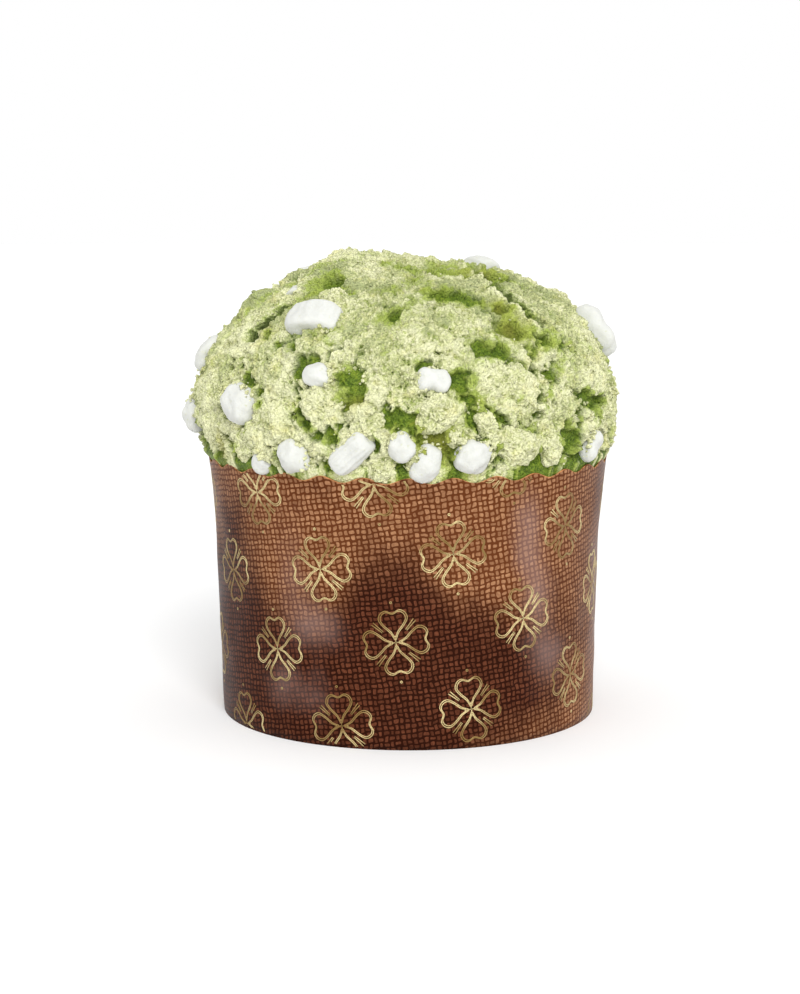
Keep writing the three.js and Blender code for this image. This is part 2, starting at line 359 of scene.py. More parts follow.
class Recipe:
    """A material's node tree, with a short call for each kind of node that the finishes use."""

    def __init__(self, name: str) -> None:
        """Starts an empty material.

        Args:
            name: The material's name.
        """
        self.material = bpy.data.materials.new(name)
        self.material.use_nodes = True
        self.tree = self.material.node_tree
        self.tree.nodes.clear()

    def node(self, kind: str, **settings: object) -> bpy.types.Node:
        """Adds a node and sets its properties.

        Args:
            kind: The node's type, without its first word.
            settings: Properties by name.

        Returns:
            The new node.
        """
        made = self.tree.nodes.new("ShaderNode" + kind)
        for key, value in settings.items():
            setattr(made, key, value)
        return made

    def feed(self, socket: Socket, value: object) -> None:
        """Links a socket to another, or sets it to a plain value or to a hex colour.

        Args:
            socket: An input.
            value: Another node's output, a number, a vector or a hex colour; None leaves the input as it is.
        """
        if isinstance(value, bpy.types.NodeSocket):
            self.tree.links.new(value, socket)
        elif value is not None:
            socket.default_value = ink(value) if isinstance(value, str) else value

    def math(self, operation: str, *values: object) -> Socket:
        """One math node on its values.

        Args:
            operation: What it does.
            values: What it does it to.

        Returns:
            Its result.
        """
        made = self.node("Math", operation=operation)
        for socket, value in zip(made.inputs, values):
            self.feed(socket, value)
        return made.outputs[0]

    def plus(self, base: object, part: object, weight: float) -> Socket:
        """A base with a weighted part added to it."""
        return self.math("MULTIPLY_ADD", part, weight, base)

    def centred(self, fraction: Socket) -> Socket:
        """A fraction from 0 to 1, taken down to lie about 0."""
        return self.math("SUBTRACT", fraction, 0.5)

    def vector(self, operation: str, first: object, second: object = None) -> Socket:
        """One vector math node on one or two vectors.

        Args:
            operation: What it does.
            first: The first vector.
            second: The second, where there is one.

        Returns:
            Its result.
        """
        made = self.node("VectorMath", operation=operation)
        self.feed(made.inputs[0], first)
        self.feed(made.inputs[1], second)
        return made.outputs[0]

    def span(self, value: object, low: float, high: float, start: float = 0.0, end: float = 1.0) -> Socket:
        """Carries a value from low..high to start..end along a smooth step.

        Args:
            value: What is carried.
            low: Where the step starts.
            high: Where it ends; it may be lower than low.
            start: The result at low.
            end: The result at high.

        Returns:
            The stepped value.
        """
        made = self.node("MapRange", interpolation_type="SMOOTHSTEP")
        for socket, number in zip(made.inputs, (value, low, high, start, end)):
            self.feed(socket, number)
        return made.outputs[0]

    def place(self) -> Socket:
        """Object coordinates in millimetres."""
        return self.vector("MULTIPLY", self.node("TexCoord").outputs["Object"], (1000.0,) * 3)

    def mark(self, name: str) -> Socket:
        """The value of a named mark on the surface."""
        return self.node("Attribute", attribute_name=name).outputs["Fac"]

    def noise(self, where: Socket, size: float, detail: float = 2.0, rough: float = 0.5) -> Socket:
        """Noise from 0 to 1 whose features are about size millimetres wide.

        Args:
            where: Places in millimetres.
            size: Width of the features.
            detail: How many finer sizes are added.
            rough: How strong each finer size is.

        Returns:
            The noise.
        """
        made = self.node("TexNoise")
        self.feed(made.inputs["Vector"], where)
        made.inputs["Scale"].default_value = 1.0 / size
        made.inputs["Detail"].default_value = detail
        made.inputs["Roughness"].default_value = rough
        return made.outputs["Fac"]

    def cells(self, where: Socket, size: float) -> Socket:
        """Distance to the nearest of scattered seeds that lie about size millimetres apart.

        Args:
            where: Places in millimetres.
            size: Distance between seeds.

        Returns:
            The distance, as a share of size.
        """
        made = self.node("TexVoronoi")
        self.feed(made.inputs["Vector"], where)
        made.inputs["Scale"].default_value = 1.0 / size
        return made.outputs["Distance"]

    def blend(self, share: object, first: object, second: object, mode: str = "MIX") -> Socket:
        """Mixes two colours by a share.

        Args:
            share: How much of the second colour there is.
            first: A colour.
            second: Another.
            mode: How the second is laid on the first.

        Returns:
            The mixed colour.
        """
        made = self.node("Mix", data_type="RGBA", blend_type=mode)
        self.feed(made.inputs[0], share)
        self.feed(made.inputs[6], first)
        self.feed(made.inputs[7], second)
        return made.outputs[2]

    def bump(self, height: Socket, depth: float, under: Socket | None = None) -> Socket:
        """Tilts the surface by a height from 0 to 1 that stands for depth millimetres.

        Args:
            height: The height.
            depth: Millimetres that a height of 1 stands for.
            under: A bump that this one is laid on.

        Returns:
            The tilted normal.
        """
        made = self.node("Bump")
        made.inputs["Distance"].default_value = depth * MM
        self.feed(made.inputs["Height"], height)
        self.feed(made.inputs["Normal"], under)
        return made.outputs[0]

    def finish(self, **sockets: object) -> bpy.types.Material:
        """Ends the tree in a Principled shader; a socket's name is written with underscores.

        Args:
            sockets: Values for the shader's sockets.

        Returns:
            The finished material.
        """
        shader = self.node("BsdfPrincipled")
        for name, value in sockets.items():
            self.feed(shader.inputs[name.replace("_", " ")], value)
        self.tree.links.new(shader.outputs[0], self.node("OutputMaterial").inputs[0])
        return self.material


@dataclass(frozen=True)
class CrumbleFinish:
    """Pale open crumble over a bright green glaze. It is green where the glaze soaks into it, and its
    creases are painted greener and darker as painted shade.
    """

    cream: str = "f0f1c3"
    butter: str = "fff8d2"
    pale: str = "d6da9f"
    grey: str = "b3bb86"
    sap_and_painted_shade: str = "a9bb56"
    pit: str = "788f3b"
    glaze: str = "809831"
    glaze_deep: str = "4c641d"
    yellow: str = "b3b048"
    olive: str = "8a8a38"
    painted_crevice_shade: str = "2f3c18"

    def material(self) -> bpy.types.Material:
        """Builds the material from the marks crumb, relief, stain, tone and gild.

        Returns:
            The material.
        """
        recipe = Recipe("crumble_over_glaze")
        place = recipe.place()
        crumb, relief = recipe.mark("crumb"), recipe.mark("relief")
        stain, tone, gild = recipe.mark("stain"), recipe.mark("tone"), recipe.mark("gild")
        speckle = recipe.centred(recipe.noise(place, 1.1, 3.0, 0.9))
        mottle = recipe.centred(recipe.noise(place, 4.5, 3.0, 0.7))
        grit = recipe.math("SUBTRACT", 0.55, recipe.cells(place, 1.2))
        tone = recipe.plus(tone, mottle, 1.1)
        tone = recipe.plus(tone, speckle, 1.1)
        tone = recipe.plus(tone, grit, 0.8)
        # The tone mark holds painted light and painted shade as well as the crumble's own uneven tone.
        body = recipe.blend(recipe.span(tone, 0.05, 0.45), self.grey, self.pale)
        body = recipe.blend(recipe.span(tone, 0.4, 0.8), body, self.cream)
        soaked = recipe.plus(stain, mottle, 2.0)
        soaked = recipe.plus(soaked, speckle, 0.8)
        body = recipe.blend(recipe.span(soaked, 0.2, 0.95, 0.0, 0.95), body, self.sap_and_painted_shade)
        # Painted shade: low relief is painted greener and darker, where creases between granules would lie
        # in shade.
        low = recipe.plus(relief, speckle, 1.1)
        body = recipe.blend(recipe.span(low, 0.42, 0.14, 0.0, 0.6), body, self.sap_and_painted_shade)
        body = recipe.blend(recipe.span(low, 0.26, 0.0, 0.0, 0.7), body, self.pit)
        warm = recipe.span(recipe.noise(place, 8.0, 3.0, 0.6), 0.5, 0.75, 0.0, 0.55)
        body = recipe.blend(warm, body, self.butter, "MULTIPLY")
        body = recipe.blend(recipe.math("MULTIPLY", gild, 0.5), body, self.yellow)
        shade = recipe.plus(mottle, speckle, 1.3)
        wet = recipe.blend(recipe.span(shade, -0.2, 0.2), self.glaze_deep, self.glaze)
        wet = recipe.blend(recipe.span(shade, 0.1, 0.4, 0.0, 0.5), wet, self.yellow)
        wet = recipe.blend(recipe.math("MULTIPLY", gild, 0.75), wet, self.olive)
        colour = recipe.blend(crumb, wet, body)
        # Painted shade: the deepest creases and grooves are painted near black-green.
        colour = recipe.blend(recipe.span(relief, 0.2, 0.0, 0.0, 0.7), colour, self.painted_crevice_shade)
        pores = recipe.bump(recipe.noise(place, 0.6, 2.0, 0.6), 0.4)
        grain = recipe.bump(speckle, 0.6, recipe.bump(grit, 1.1, pores))
        return recipe.finish(
            Base_Color=colour,
            Roughness=recipe.span(crumb, 0.2, 0.8, 0.5, 0.95),
            Specular_IOR_Level=0.2,
            Normal=grain,
        )


@dataclass(frozen=True)
class MarshmallowFinish:
    """Soft powdery white that lets a little light through, with a trace of crumb dust on it."""

    white: str = "d5d6d2"
    shade: str = "c8c9c2"
    dust: str = "bcc092"

    def material(self) -> bpy.types.Material:
        """Builds the material.

        Returns:
            The material.
        """
        recipe = Recipe("marshmallow_powder")
        place = recipe.place()
        colour = recipe.blend(recipe.noise(place, 4.0), self.white, self.shade)
        dusty = recipe.span(recipe.noise(place, 1.6, 3.0, 0.6), 0.6, 0.75, 0.0, 0.5)
        colour = recipe.blend(dusty, colour, self.dust)
        bump = recipe.bump(recipe.noise(place, 0.8, 2.0), 0.25)
        return recipe.finish(
            Base_Color=colour,
            Roughness=0.8,
            Specular_IOR_Level=0.25,
            Subsurface_Weight=0.35,
            Subsurface_Radius=(1.0, 0.95, 0.85),
            Subsurface_Scale=2.0 * MM,
            Normal=bump,
        )


@dataclass(frozen=True)
class SpongeFinish:
    """The loaf's sponge inside the case: green crumb with open pores."""

    crumb: str = "a9bb62"
    pore: str = "6f8a35"

    def material(self) -> bpy.types.Material:
        """Builds the material.

        Returns:
            The material.
        """
        recipe = Recipe("green_sponge")
        place = recipe.place()
        pores = recipe.noise(place, 2.5, 4.0, 0.7)
        colour = recipe.blend(recipe.span(pores, 0.35, 0.6), self.pore, self.crumb)
        return recipe.finish(Base_Color=colour, Roughness=0.9, Normal=recipe.bump(pores, 0.8))


@dataclass(frozen=True)
class SackclothPaper:
    """Laminated baking paper, printed with a brown sackcloth weave that is lighter near the rim, with a
    satin sheen painted into its colour.

    Attributes:
        turn: Angle of the print on the sheet, in degrees.
        across: Width of one cell of the weave, in millimetres.
        up: Height of one cell.
    """

    turn: float = PRINT_TURN
    across: float = 2.35
    up: float = 2.27
    thread_dry: str = "ae805c"
    thread_soaked: str = "683a26"
    gap_dry: str = "5c3016"
    gap_soaked: str = "280c02"
    # Painted sheen: a pale mauve that stands in for the laminate's satin reflection.
    painted_sheen_colour: str = "9a7f78"
    raw_edge: str = "d2935f"

    def weave(self, recipe: Recipe) -> tuple[Socket, Socket]:
        """Draws the weave: rounded cells on a grid, by turns wide and low or narrow and tall.

        A cell is inside where (|x| / width)^4 + (|y| / height)^4 is below 1, measured from its middle.

        Args:
            recipe: The material being made.

        Returns:
            How far a point is on a thread, from 0 to 1, and a fraction that is the same all over a cell.
        """
        sheet = recipe.node("UVMap", uv_map="sheet").outputs[0]
        turned = recipe.node("VectorRotate", rotation_type="Z_AXIS")
        recipe.feed(turned.inputs["Vector"], recipe.vector("MULTIPLY", sheet, (100.0, 100.0, 0.0)))
        turned.inputs["Angle"].default_value = -math.radians(self.turn)
        drift = recipe.node("TexNoise")
        recipe.feed(drift.inputs["Vector"], turned.outputs[0])
        drift.inputs["Scale"].default_value = 1.0 / 6.0
        drift.inputs["Detail"].default_value = 2.0
        sway = recipe.vector("SUBTRACT", drift.outputs["Color"], (0.5, 0.5, 0.5))
        swayed = recipe.vector("ADD", turned.outputs[0], recipe.vector("MULTIPLY", sway, (2.6, 2.6, 0.0)))
        grid = recipe.vector("DIVIDE", swayed, (self.across, self.up, 1.0))
        cell = recipe.vector("FLOOR", grid)
        inside = recipe.vector("SUBTRACT", recipe.vector("SUBTRACT", grid, cell), (0.5, 0.5, 0.0))
        parts = recipe.node("SeparateXYZ")
        recipe.feed(parts.inputs[0], inside)
        ids = recipe.node("SeparateXYZ")
        recipe.feed(ids.inputs[0], cell)
        odd = recipe.math("PINGPONG", recipe.math("ADD", ids.outputs[0], ids.outputs[1]), 1.0)
        chance = recipe.node("TexWhiteNoise", noise_dimensions="2D")
        recipe.feed(chance.inputs["Vector"], cell)
        tint = recipe.node("SeparateColor")
        recipe.feed(tint.inputs[0], chance.outputs["Color"])
        wide = recipe.plus(0.29, tint.outputs[0], 0.1)
        tall = recipe.plus(0.29, tint.outputs[1], 0.1)
        lean = recipe.math("MULTIPLY", recipe.math("SUBTRACT", odd, 0.5), 0.12)
        wide, tall = recipe.math("ADD", wide, lean), recipe.math("SUBTRACT", tall, lean)
        reach = [
            recipe.math("POWER", recipe.math("DIVIDE", recipe.math("ABSOLUTE", side), half), 4.0)
            for side, half in ((parts.outputs[0], wide), (parts.outputs[1], tall))
        ]
        thread = recipe.span(recipe.math("ADD", *reach), 1.9, 0.35)
        return thread, tint.outputs[2]

    def material(self) -> bpy.types.Material:
        """Builds the material from the sheet's own coordinates and the marks soak, rim and the painted sheen
        mark.

        Returns:
            The material.
        """
        recipe = Recipe("sackcloth_paper")
        place = recipe.place()
        thread, tint = self.weave(recipe)
        cloud = recipe.centred(recipe.noise(place, 16.0, 3.0, 0.6))
        soak = recipe.span(recipe.plus(recipe.mark("soak"), cloud, 0.7), 0.0, 1.0)
        light = recipe.blend(soak, self.thread_dry, self.thread_soaked)
        dark = recipe.blend(soak, self.gap_dry, self.gap_soaked)
        light = recipe.blend(recipe.math("MULTIPLY", tint, 0.5), light, dark)
        worn = recipe.span(recipe.noise(place, 1.1, 2.0), 0.3, 0.7, 0.6, 1.0)
        colour = recipe.blend(recipe.math("MULTIPLY", thread, worn), dark, light)
        # Painted sheen: paler and mauve where the laminate would reflect light.
        painted_sheen_mark = recipe.plus(recipe.mark("painted_sheen_mark"), cloud, 0.5)
        colour = recipe.blend(recipe.span(painted_sheen_mark, 0.05, 1.0, 0.0, 0.6), colour, self.painted_sheen_colour)
        edge = recipe.math("ADD", recipe.mark("rim"), recipe.math("MULTIPLY", recipe.noise(place, 4.0), 1.6))
        colour = recipe.blend(recipe.span(edge, 1.25, 0.7, 0.0, 0.8), colour, self.raw_edge)
        return recipe.finish(
            Base_Color=colour,
            Roughness=recipe.span(recipe.noise(place, 25.0), 0.3, 0.7, 0.32, 0.44),
            Specular_IOR_Level=0.4,
            IOR=1.15,
            Normal=recipe.bump(thread, 0.03),
        )


@dataclass(frozen=True)
class PlainBoard:
    """The unprinted brown board of the case's base."""

    board: str = "7a4a33"
    fibre: str = "5b3322"

    def material(self) -> bpy.types.Material:
        """Builds the material.

        Returns:
            The material.
        """
        recipe = Recipe("plain_brown_board")
        fibres = recipe.noise(recipe.vector("MULTIPLY", recipe.place(), (1.0, 0.25, 1.0)), 1.4, 4.0, 0.7)
        colour = recipe.blend(recipe.span(fibres, 0.3, 0.7), self.fibre, self.board)
        return recipe.finish(Base_Color=colour, Roughness=0.6, Normal=recipe.bump(fibres, 0.08))


@dataclass(frozen=True)
class GoldInk:
    """Metallic gold ink, thin in places so that the brown shows through."""

    gold: str = "d8c690"
    thin: str = "866b3a"

    def material(self) -> bpy.types.Material:
        """Builds the material.

        Returns:
            The material.
        """
        recipe = Recipe("gold_ink")
        place = recipe.place()
        patch = recipe.span(recipe.noise(place, 22.0, 2.0), 0.38, 0.62)
        grain = recipe.span(recipe.noise(place, 0.6, 2.0), 0.35, 0.65, 0.5, 1.0)
        colour = recipe.blend(recipe.math("MULTIPLY", patch, grain), self.thin, self.gold)
        return recipe.finish(Base_Color=colour, Metallic=0.3, Roughness=0.45, Specular_IOR_Level=0.3)


@dataclass(frozen=True)
class FloorFinish:
    """A matt white table."""

    white: str = "fafafa"

    def material(self) -> bpy.types.Material:
        """Builds the material.

        Returns:
            The material.
        """
        return Recipe("white_table").finish(Base_Color=self.white, Roughness=0.9, Specular_IOR_Level=0.1)


# ---- forms that several pieces share ----


@dataclass(frozen=True)
class Swell:
    """A broad swell or hollow of the risen dome: where it lies, how far it spreads and its height.

    Angles are in degrees, and the height is in millimetres.
    """

    longitude: float
    latitude: float
    spread: float
    height: float


@dataclass(frozen=True)
class DomeForm:
    """The loaf's dome: a superellipse turned about Z, with the swells added.

    Attributes:
        centre: Height of the widest level.
        radius: Radius there.
        rise: Height of the curve above and below it.
        power: 2 is an ellipse, and more is squarer.
        swells: What makes it lopsided.
    """

    centre: float = 132.0
    radius: float = 89.0
    rise: float = 63.0
    power: float = 2.3
    swells: tuple[Swell, ...] = (
        Swell(-95, 66, 24, 5.5),
        Swell(20, 66, 22, -4.0),
        Swell(-92, 0, 30, 2.6),
        Swell(-80, 38, 20, -4.5),
    )

    @staticmethod
    def direction(longitude: Array, latitude: Array) -> Array:
        """Unit vectors from the dome's centre towards angles in radians.

        Args:
            longitude: Angles in radians.
            latitude: Angles in radians.

        Returns:
            The vectors.
        """
        across = np.cos(latitude)
        parts = across * np.sin(longitude), -across * np.cos(longitude), np.sin(latitude)
        return np.stack(np.broadcast_arrays(*parts), axis=-1)

    def reach(self, longitude: Array, latitude: Array) -> Array:
        """Distance from the centre to the surface.

        It is ((cos latitude / radius)^power + (|sin latitude| / rise)^power)^(-1 / power), plus each
        swell's height times a bell curve of the angle to its middle.

        Args:
            longitude: Angles in radians.
            latitude: Angles in radians.

        Returns:
            Distances in millimetres.
        """
        across, up = np.cos(latitude) / self.radius, np.abs(np.sin(latitude)) / self.rise
        reach = (across**self.power + up**self.power) ** (-1.0 / self.power)
        towards = self.direction(longitude, latitude)
        for swell in self.swells:
            middle = self.direction(np.radians(swell.longitude), np.radians(swell.latitude))
            angle = np.arccos(np.clip(towards @ middle, -1.0, 1.0))
            reach = reach + swell.height * bell(angle, math.radians(swell.spread))
        return reach

    def point(self, longitude: Array, latitude: Array, lift: Array | float = 0.0) -> Array:
        """Places on the dome, lifted away from its centre.

        Args:
            longitude: Angles in radians.
            latitude: Angles in radians.
            lift: Millimetres further out.

        Returns:
            The places in millimetres.
        """
        towards = self.direction(longitude, latitude)
        distance = self.reach(longitude, latitude) + lift
        return towards * distance[..., None] + np.array([0.0, 0.0, self.centre])

    def locate(self, points: Array) -> tuple[Array, Array]:
        """Longitude and latitude of places, in radians."""
        x, y, z = np.moveaxis(points, -1, 0)
        return np.arctan2(x, -y), np.arctan2(z - self.centre, np.hypot(x, y))

    def tangents(self, longitude: float, latitude: float) -> Array:
        """East, north and outward unit vectors on the dome, one to a row.

        Args:
            longitude: An angle in radians.
            latitude: An angle in radians.

        Returns:
            The three vectors.
        """
        step = 0.01
        here = self.point(np.array(longitude), np.array(latitude))
        east = unit(self.point(np.array(longitude + step), np.array(latitude)) - here)
        north = self.point(np.array(longitude), np.array(latitude + step)) - here
        out = unit(np.cross(east, north))
        return np.stack([east, np.cross(out, east), out])


@dataclass(frozen=True)
class WallForm:
    """The wall of the baking case, as it stands round the loaf.

    Attributes:
        height: Mean height of the rim.
        base_radius: Outside radius at the table.
        taper: How much wider the wall is at the rim, before its lip flares.
        flare: How far the risen dough pushes the lip out.
        flare_power: How late the flare starts.
        paper: Thickness of the laminated paper.
        scallops: Waves cut round the rim.
        scallop_rise: Height of each wave above the mean.
        seam: Width of the glued overlap at the back.
        seam_edge: How far its edge takes to lie down.
        unevenness: How far the sheet's soft unevenness moves it.
    """

    height: float = 111.0
    base_radius: float = 81.0
    taper: float = 3.4
    flare: float = 1.8
    flare_power: float = 8.0
    paper: float = 0.5
    scallops: int = 30
    scallop_rise: float = 1.2
    seam: float = 12.0
    seam_edge: float = 1.2
    unevenness: float = 0.45

    @property
    def sheet_radius(self) -> float:
        """Radius that turns an angle into a length along the sheet."""
        return self.base_radius + 0.5 * self.taper

    def rim(self, longitude: Array) -> Array:
        """Height of the scalloped rim."""
        return self.height + self.scallop_rise * np.cos(self.scallops * longitude)

    def radius(self, longitude: Array, height: Array) -> Array:
        """Outside radius: the taper and flare by powers of the height, and the paper's soft buckles.

        Args:
            longitude: Angles in radians.
            height: Heights in millimetres.

        Returns:
            Radii in millimetres.
        """
        share = np.clip(height / self.height, 0.0, 1.02)
        radius = self.base_radius + self.taper * share + self.flare * share**self.flare_power
        buckle = 0.5 * share * np.sin(3.0 * longitude + 0.6)
        middle = np.sin(np.pi * np.minimum(share, 1.0))
        buckle = buckle + 0.4 * middle * np.sin(5.0 * longitude + 2.0 + 3.0 * share)
        return radius + buckle

    def overlap(self, longitude: Array) -> Array:
        """How far the glued overlap stands out: the paper's thickness, by a soft step at its edge."""
        from_seam = (np.pi - np.abs(longitude)) * self.sheet_radius
        return self.paper * smoothstep(0.5 * self.seam, 0.5 * self.seam - self.seam_edge, from_seam)

    def soft(self, longitude: Array, height: Array, share: Array) -> Array:
        """Soft unevenness: fractal noise times the root of a half sine from the table to the rim."""
        grain = Grain(61).fractal(self.point(longitude, height), 26.0, 2)
        return self.unevenness * grain * np.sin(np.pi * np.clip(share, 0.0, 1.0)) ** 0.5

    def point(self, longitude: Array, height: Array, out: Array | float = 0.0) -> Array:
        """Places on the wall, moved out from the Z axis.

        Args:
            longitude: Angles in radians.
            height: Heights in millimetres.
            out: Millimetres further out.

        Returns:
            The places in millimetres.
        """
        radius = self.radius(longitude, height) + out
        parts = radius * np.sin(longitude), -radius * np.cos(longitude), height
        return np.stack(np.broadcast_arrays(*parts), axis=-1)


# ---- the crust ----


@dataclass(frozen=True)
class Spot:
    """A round patch of the crust: its place in degrees and its radius in millimetres."""

    longitude: float
    latitude: float
    radius: float


@dataclass(frozen=True)
class Crease:
    """A line along which the crust has folded or split.

    Attributes:
        path: Longitudes and latitudes in degrees, from one end to the other.
        width: Width of the groove.
        depth: Depth of the groove.
        ridge: Height of the lip beside it.
        lip: How broad that lip is.
        side: 1 if the lip is on the left of the path, and -1 if it is on the right.
        step: How far the crust on the other side has dropped.
    """

    path: tuple[tuple[float, float], ...]
    width: float
    depth: float
    ridge: float
    lip: float
    side: int
    step: float


@dataclass(frozen=True)
class Relief:
    """The crust's relief at some places on the dome: its lift in millimetres, and its marks."""

    lift: Array
    crumb: Array
    relief: Array
    stain: Array
    tone: Array
    gild: Array

    def marks(self) -> dict[str, Array]:
        """The marks that the finish reads, flat."""
        names = ("crumb", "relief", "stain", "tone", "gild")
        return {name: getattr(self, name).ravel() for name in names}


GAPS = each(
    Spot,
    (-3, 69.5, 6.5), (27, 69, 5.0), (40, 62.5, 4.5), (64, 60, 5.0), (58, 50, 4.5), (-39.5, 49, 5.0),
    (13.5, 42, 5.0), (20, 41.5, 4.5), (25, 38.5, 3.0), (35, 34.5, 3.6), (-4.5, 31.5, 5.0),
    (-48.5, 23.5, 2.4), (34.5, 26, 4.4), (21.5, 21, 4.4), (27, 20, 3.4), (45, 21.8, 3.8), (51.5, 21, 4.0),
    (32.5, 14.5, 2.8), (4, 16, 2.6), (-17, 13, 3.4), (-13.5, 9.5, 3.6), (13.5, 11.5, 2.8), (16, 7.5, 3.8),
    (16.5, 2.5, 3.6), (57, 5.5, 4.0), (66, 4, 3.0), (-31, 14, 2.4), (-50, 11, 2.6), (-42.5, 5, 1.9),
    (-29.5, 4, 2.4), (-28, 0.5, 2.1), (-20, -2.5, 3.0), (-6, 2.5, 2.6), (-1, 2.5, 2.4), (-9.5, -4, 3.2),
    (7, -1.5, 4.6), (4.5, -3.5, 4.0), (8.5, -6.5, 4.6), (12, -4.5, 4.2), (19.5, 0.5, 2.8), (-2, -12, 4.0),
    (12, -10.5, 4.5), (34.5, -12, 5.5), (46, -1.5, 3.2), (49.5, -5.5, 4.4), (-21, -10, 3.0),
    (-50, -13, 5.5),
)

THICK = each(
    Spot,
    (70, 2, 8.0), (72, 22, 14.0), (24, 8, 9.0), (12, 17.5, 6.0), (-5, 8.5, 6.5), (-4, 20, 9.0),
    (-70, 8, 16.0), (-66, -6, 8.0), (-58, -11, 5.0), (-29.5, 22, 5.0), (2, 8, 6.0), (-22, 3, 6.0),
    (0, 52, 11.0), (-38, 12, 7.0), (-36, 1, 7.0), (-42, -4, 6.0), (38, 2, 6.0), (57, -2, 5.0),
    (35, 10, 5.0),
)

YELLOWED = each(
    Spot,
    (7.5, -3.5, 8.0), (35, 36, 5.0), (34, 27, 6.5), (-52, 26, 4.0), (-14, 6, 4.0), (-62, -8, 6.0),
    (60, 60, 9.0), (120, 20, 8.0), (-150, 10, 8.0),
)

SKINS = each(
    Spot,
    (-78, 37, 8.0), (37, 40, 4.0), (-80, 18, 14.0), (-72, 2, 12.0),
)

# Painted shade: spots where the crust is painted darker.
SHADED = each(
    Spot,
    (52, 20, 26.0), (-79, 38, 9.0),
)

LOBES = each(
    Swell,
    (-79, 36.5, 6.0, 5.0), (-72, 34.5, 4.5, 1.6), (-82, 46.5, 4.6, -4.5), (-94, 46.5, 5.0, -4.5),
)

CREASES = (
    Crease(
        ((-56, 20), (-56.5, 25), (-54.5, 29), (-51.5, 33), (-50, 37)),
        1.7, 6.4, 2.8, 3.0, 1, 0.8,
    ),
    Crease(
        ((95, 70), (62, 61), (48, 53.5), (41.5, 44), (42, 36.5), (43, 30.5), (44.5, 25)),
        1.9, 4.4, 2.4, 2.4, -1, -1.2,
    ),
    Crease(((36, 16.5), (35, 12), (36, 8), (38, 5)), 1.6, 7.0, 0.8, 2.0, -1, 0.6),
)


UPPER = math.radians(4), math.radians(34)  # the crust turns from its lower kind to its upper one
SKIRT = math.radians(-7), math.radians(-11)  # glaze shows round the foot, but not at the front


def sway_of(points: Array) -> Array:
    """A vector of fractal noise at each place, which bends the granules' outlines."""
    return np.stack([Grain(seed).fractal(points, 5.0, 2) for seed in (21, 22, 23)], axis=-1)


def fine_crumble(points: Array, sway: Array, pit_sway: float) -> tuple[Array, Array, Array]:
    """The granules that crust and lumps share, about 5.4, 2.7 and 1.35 mm wide, with fluff and pits.

    Args:
        points: Places in millimetres.
        sway: What bends the granules' outlines there.
        pit_sway: How much of it bends the pits.

    Returns:
        The height within the widest granules, each one's own level, and the sum of all finer ones.
    """
    swayed = points + 1.2 * sway
    lump, lump_step = Grain(32).granules(swayed, 5.4, 0.7)
    bit, bit_step = Grain(33).granules(swayed, 2.7)
    speck, speck_step = Grain(34).granules(points + 0.4 * sway, 1.35)
    fluff = Grain(35).fractal(points, 1.9, 2)
    pore, _, pore_share = Grain(36).pebbles(points + pit_sway * sway, 3.1)
    pit = smoothstep(0.88, 0.97, pore) * (pore_share > 0.5)
    fine = 0.55 * bit + 0.5 * bit_step + 0.5 * speck + 0.5 * speck_step + 0.45 * fluff - 1.1 * pit
    return lump, lump_step, fine


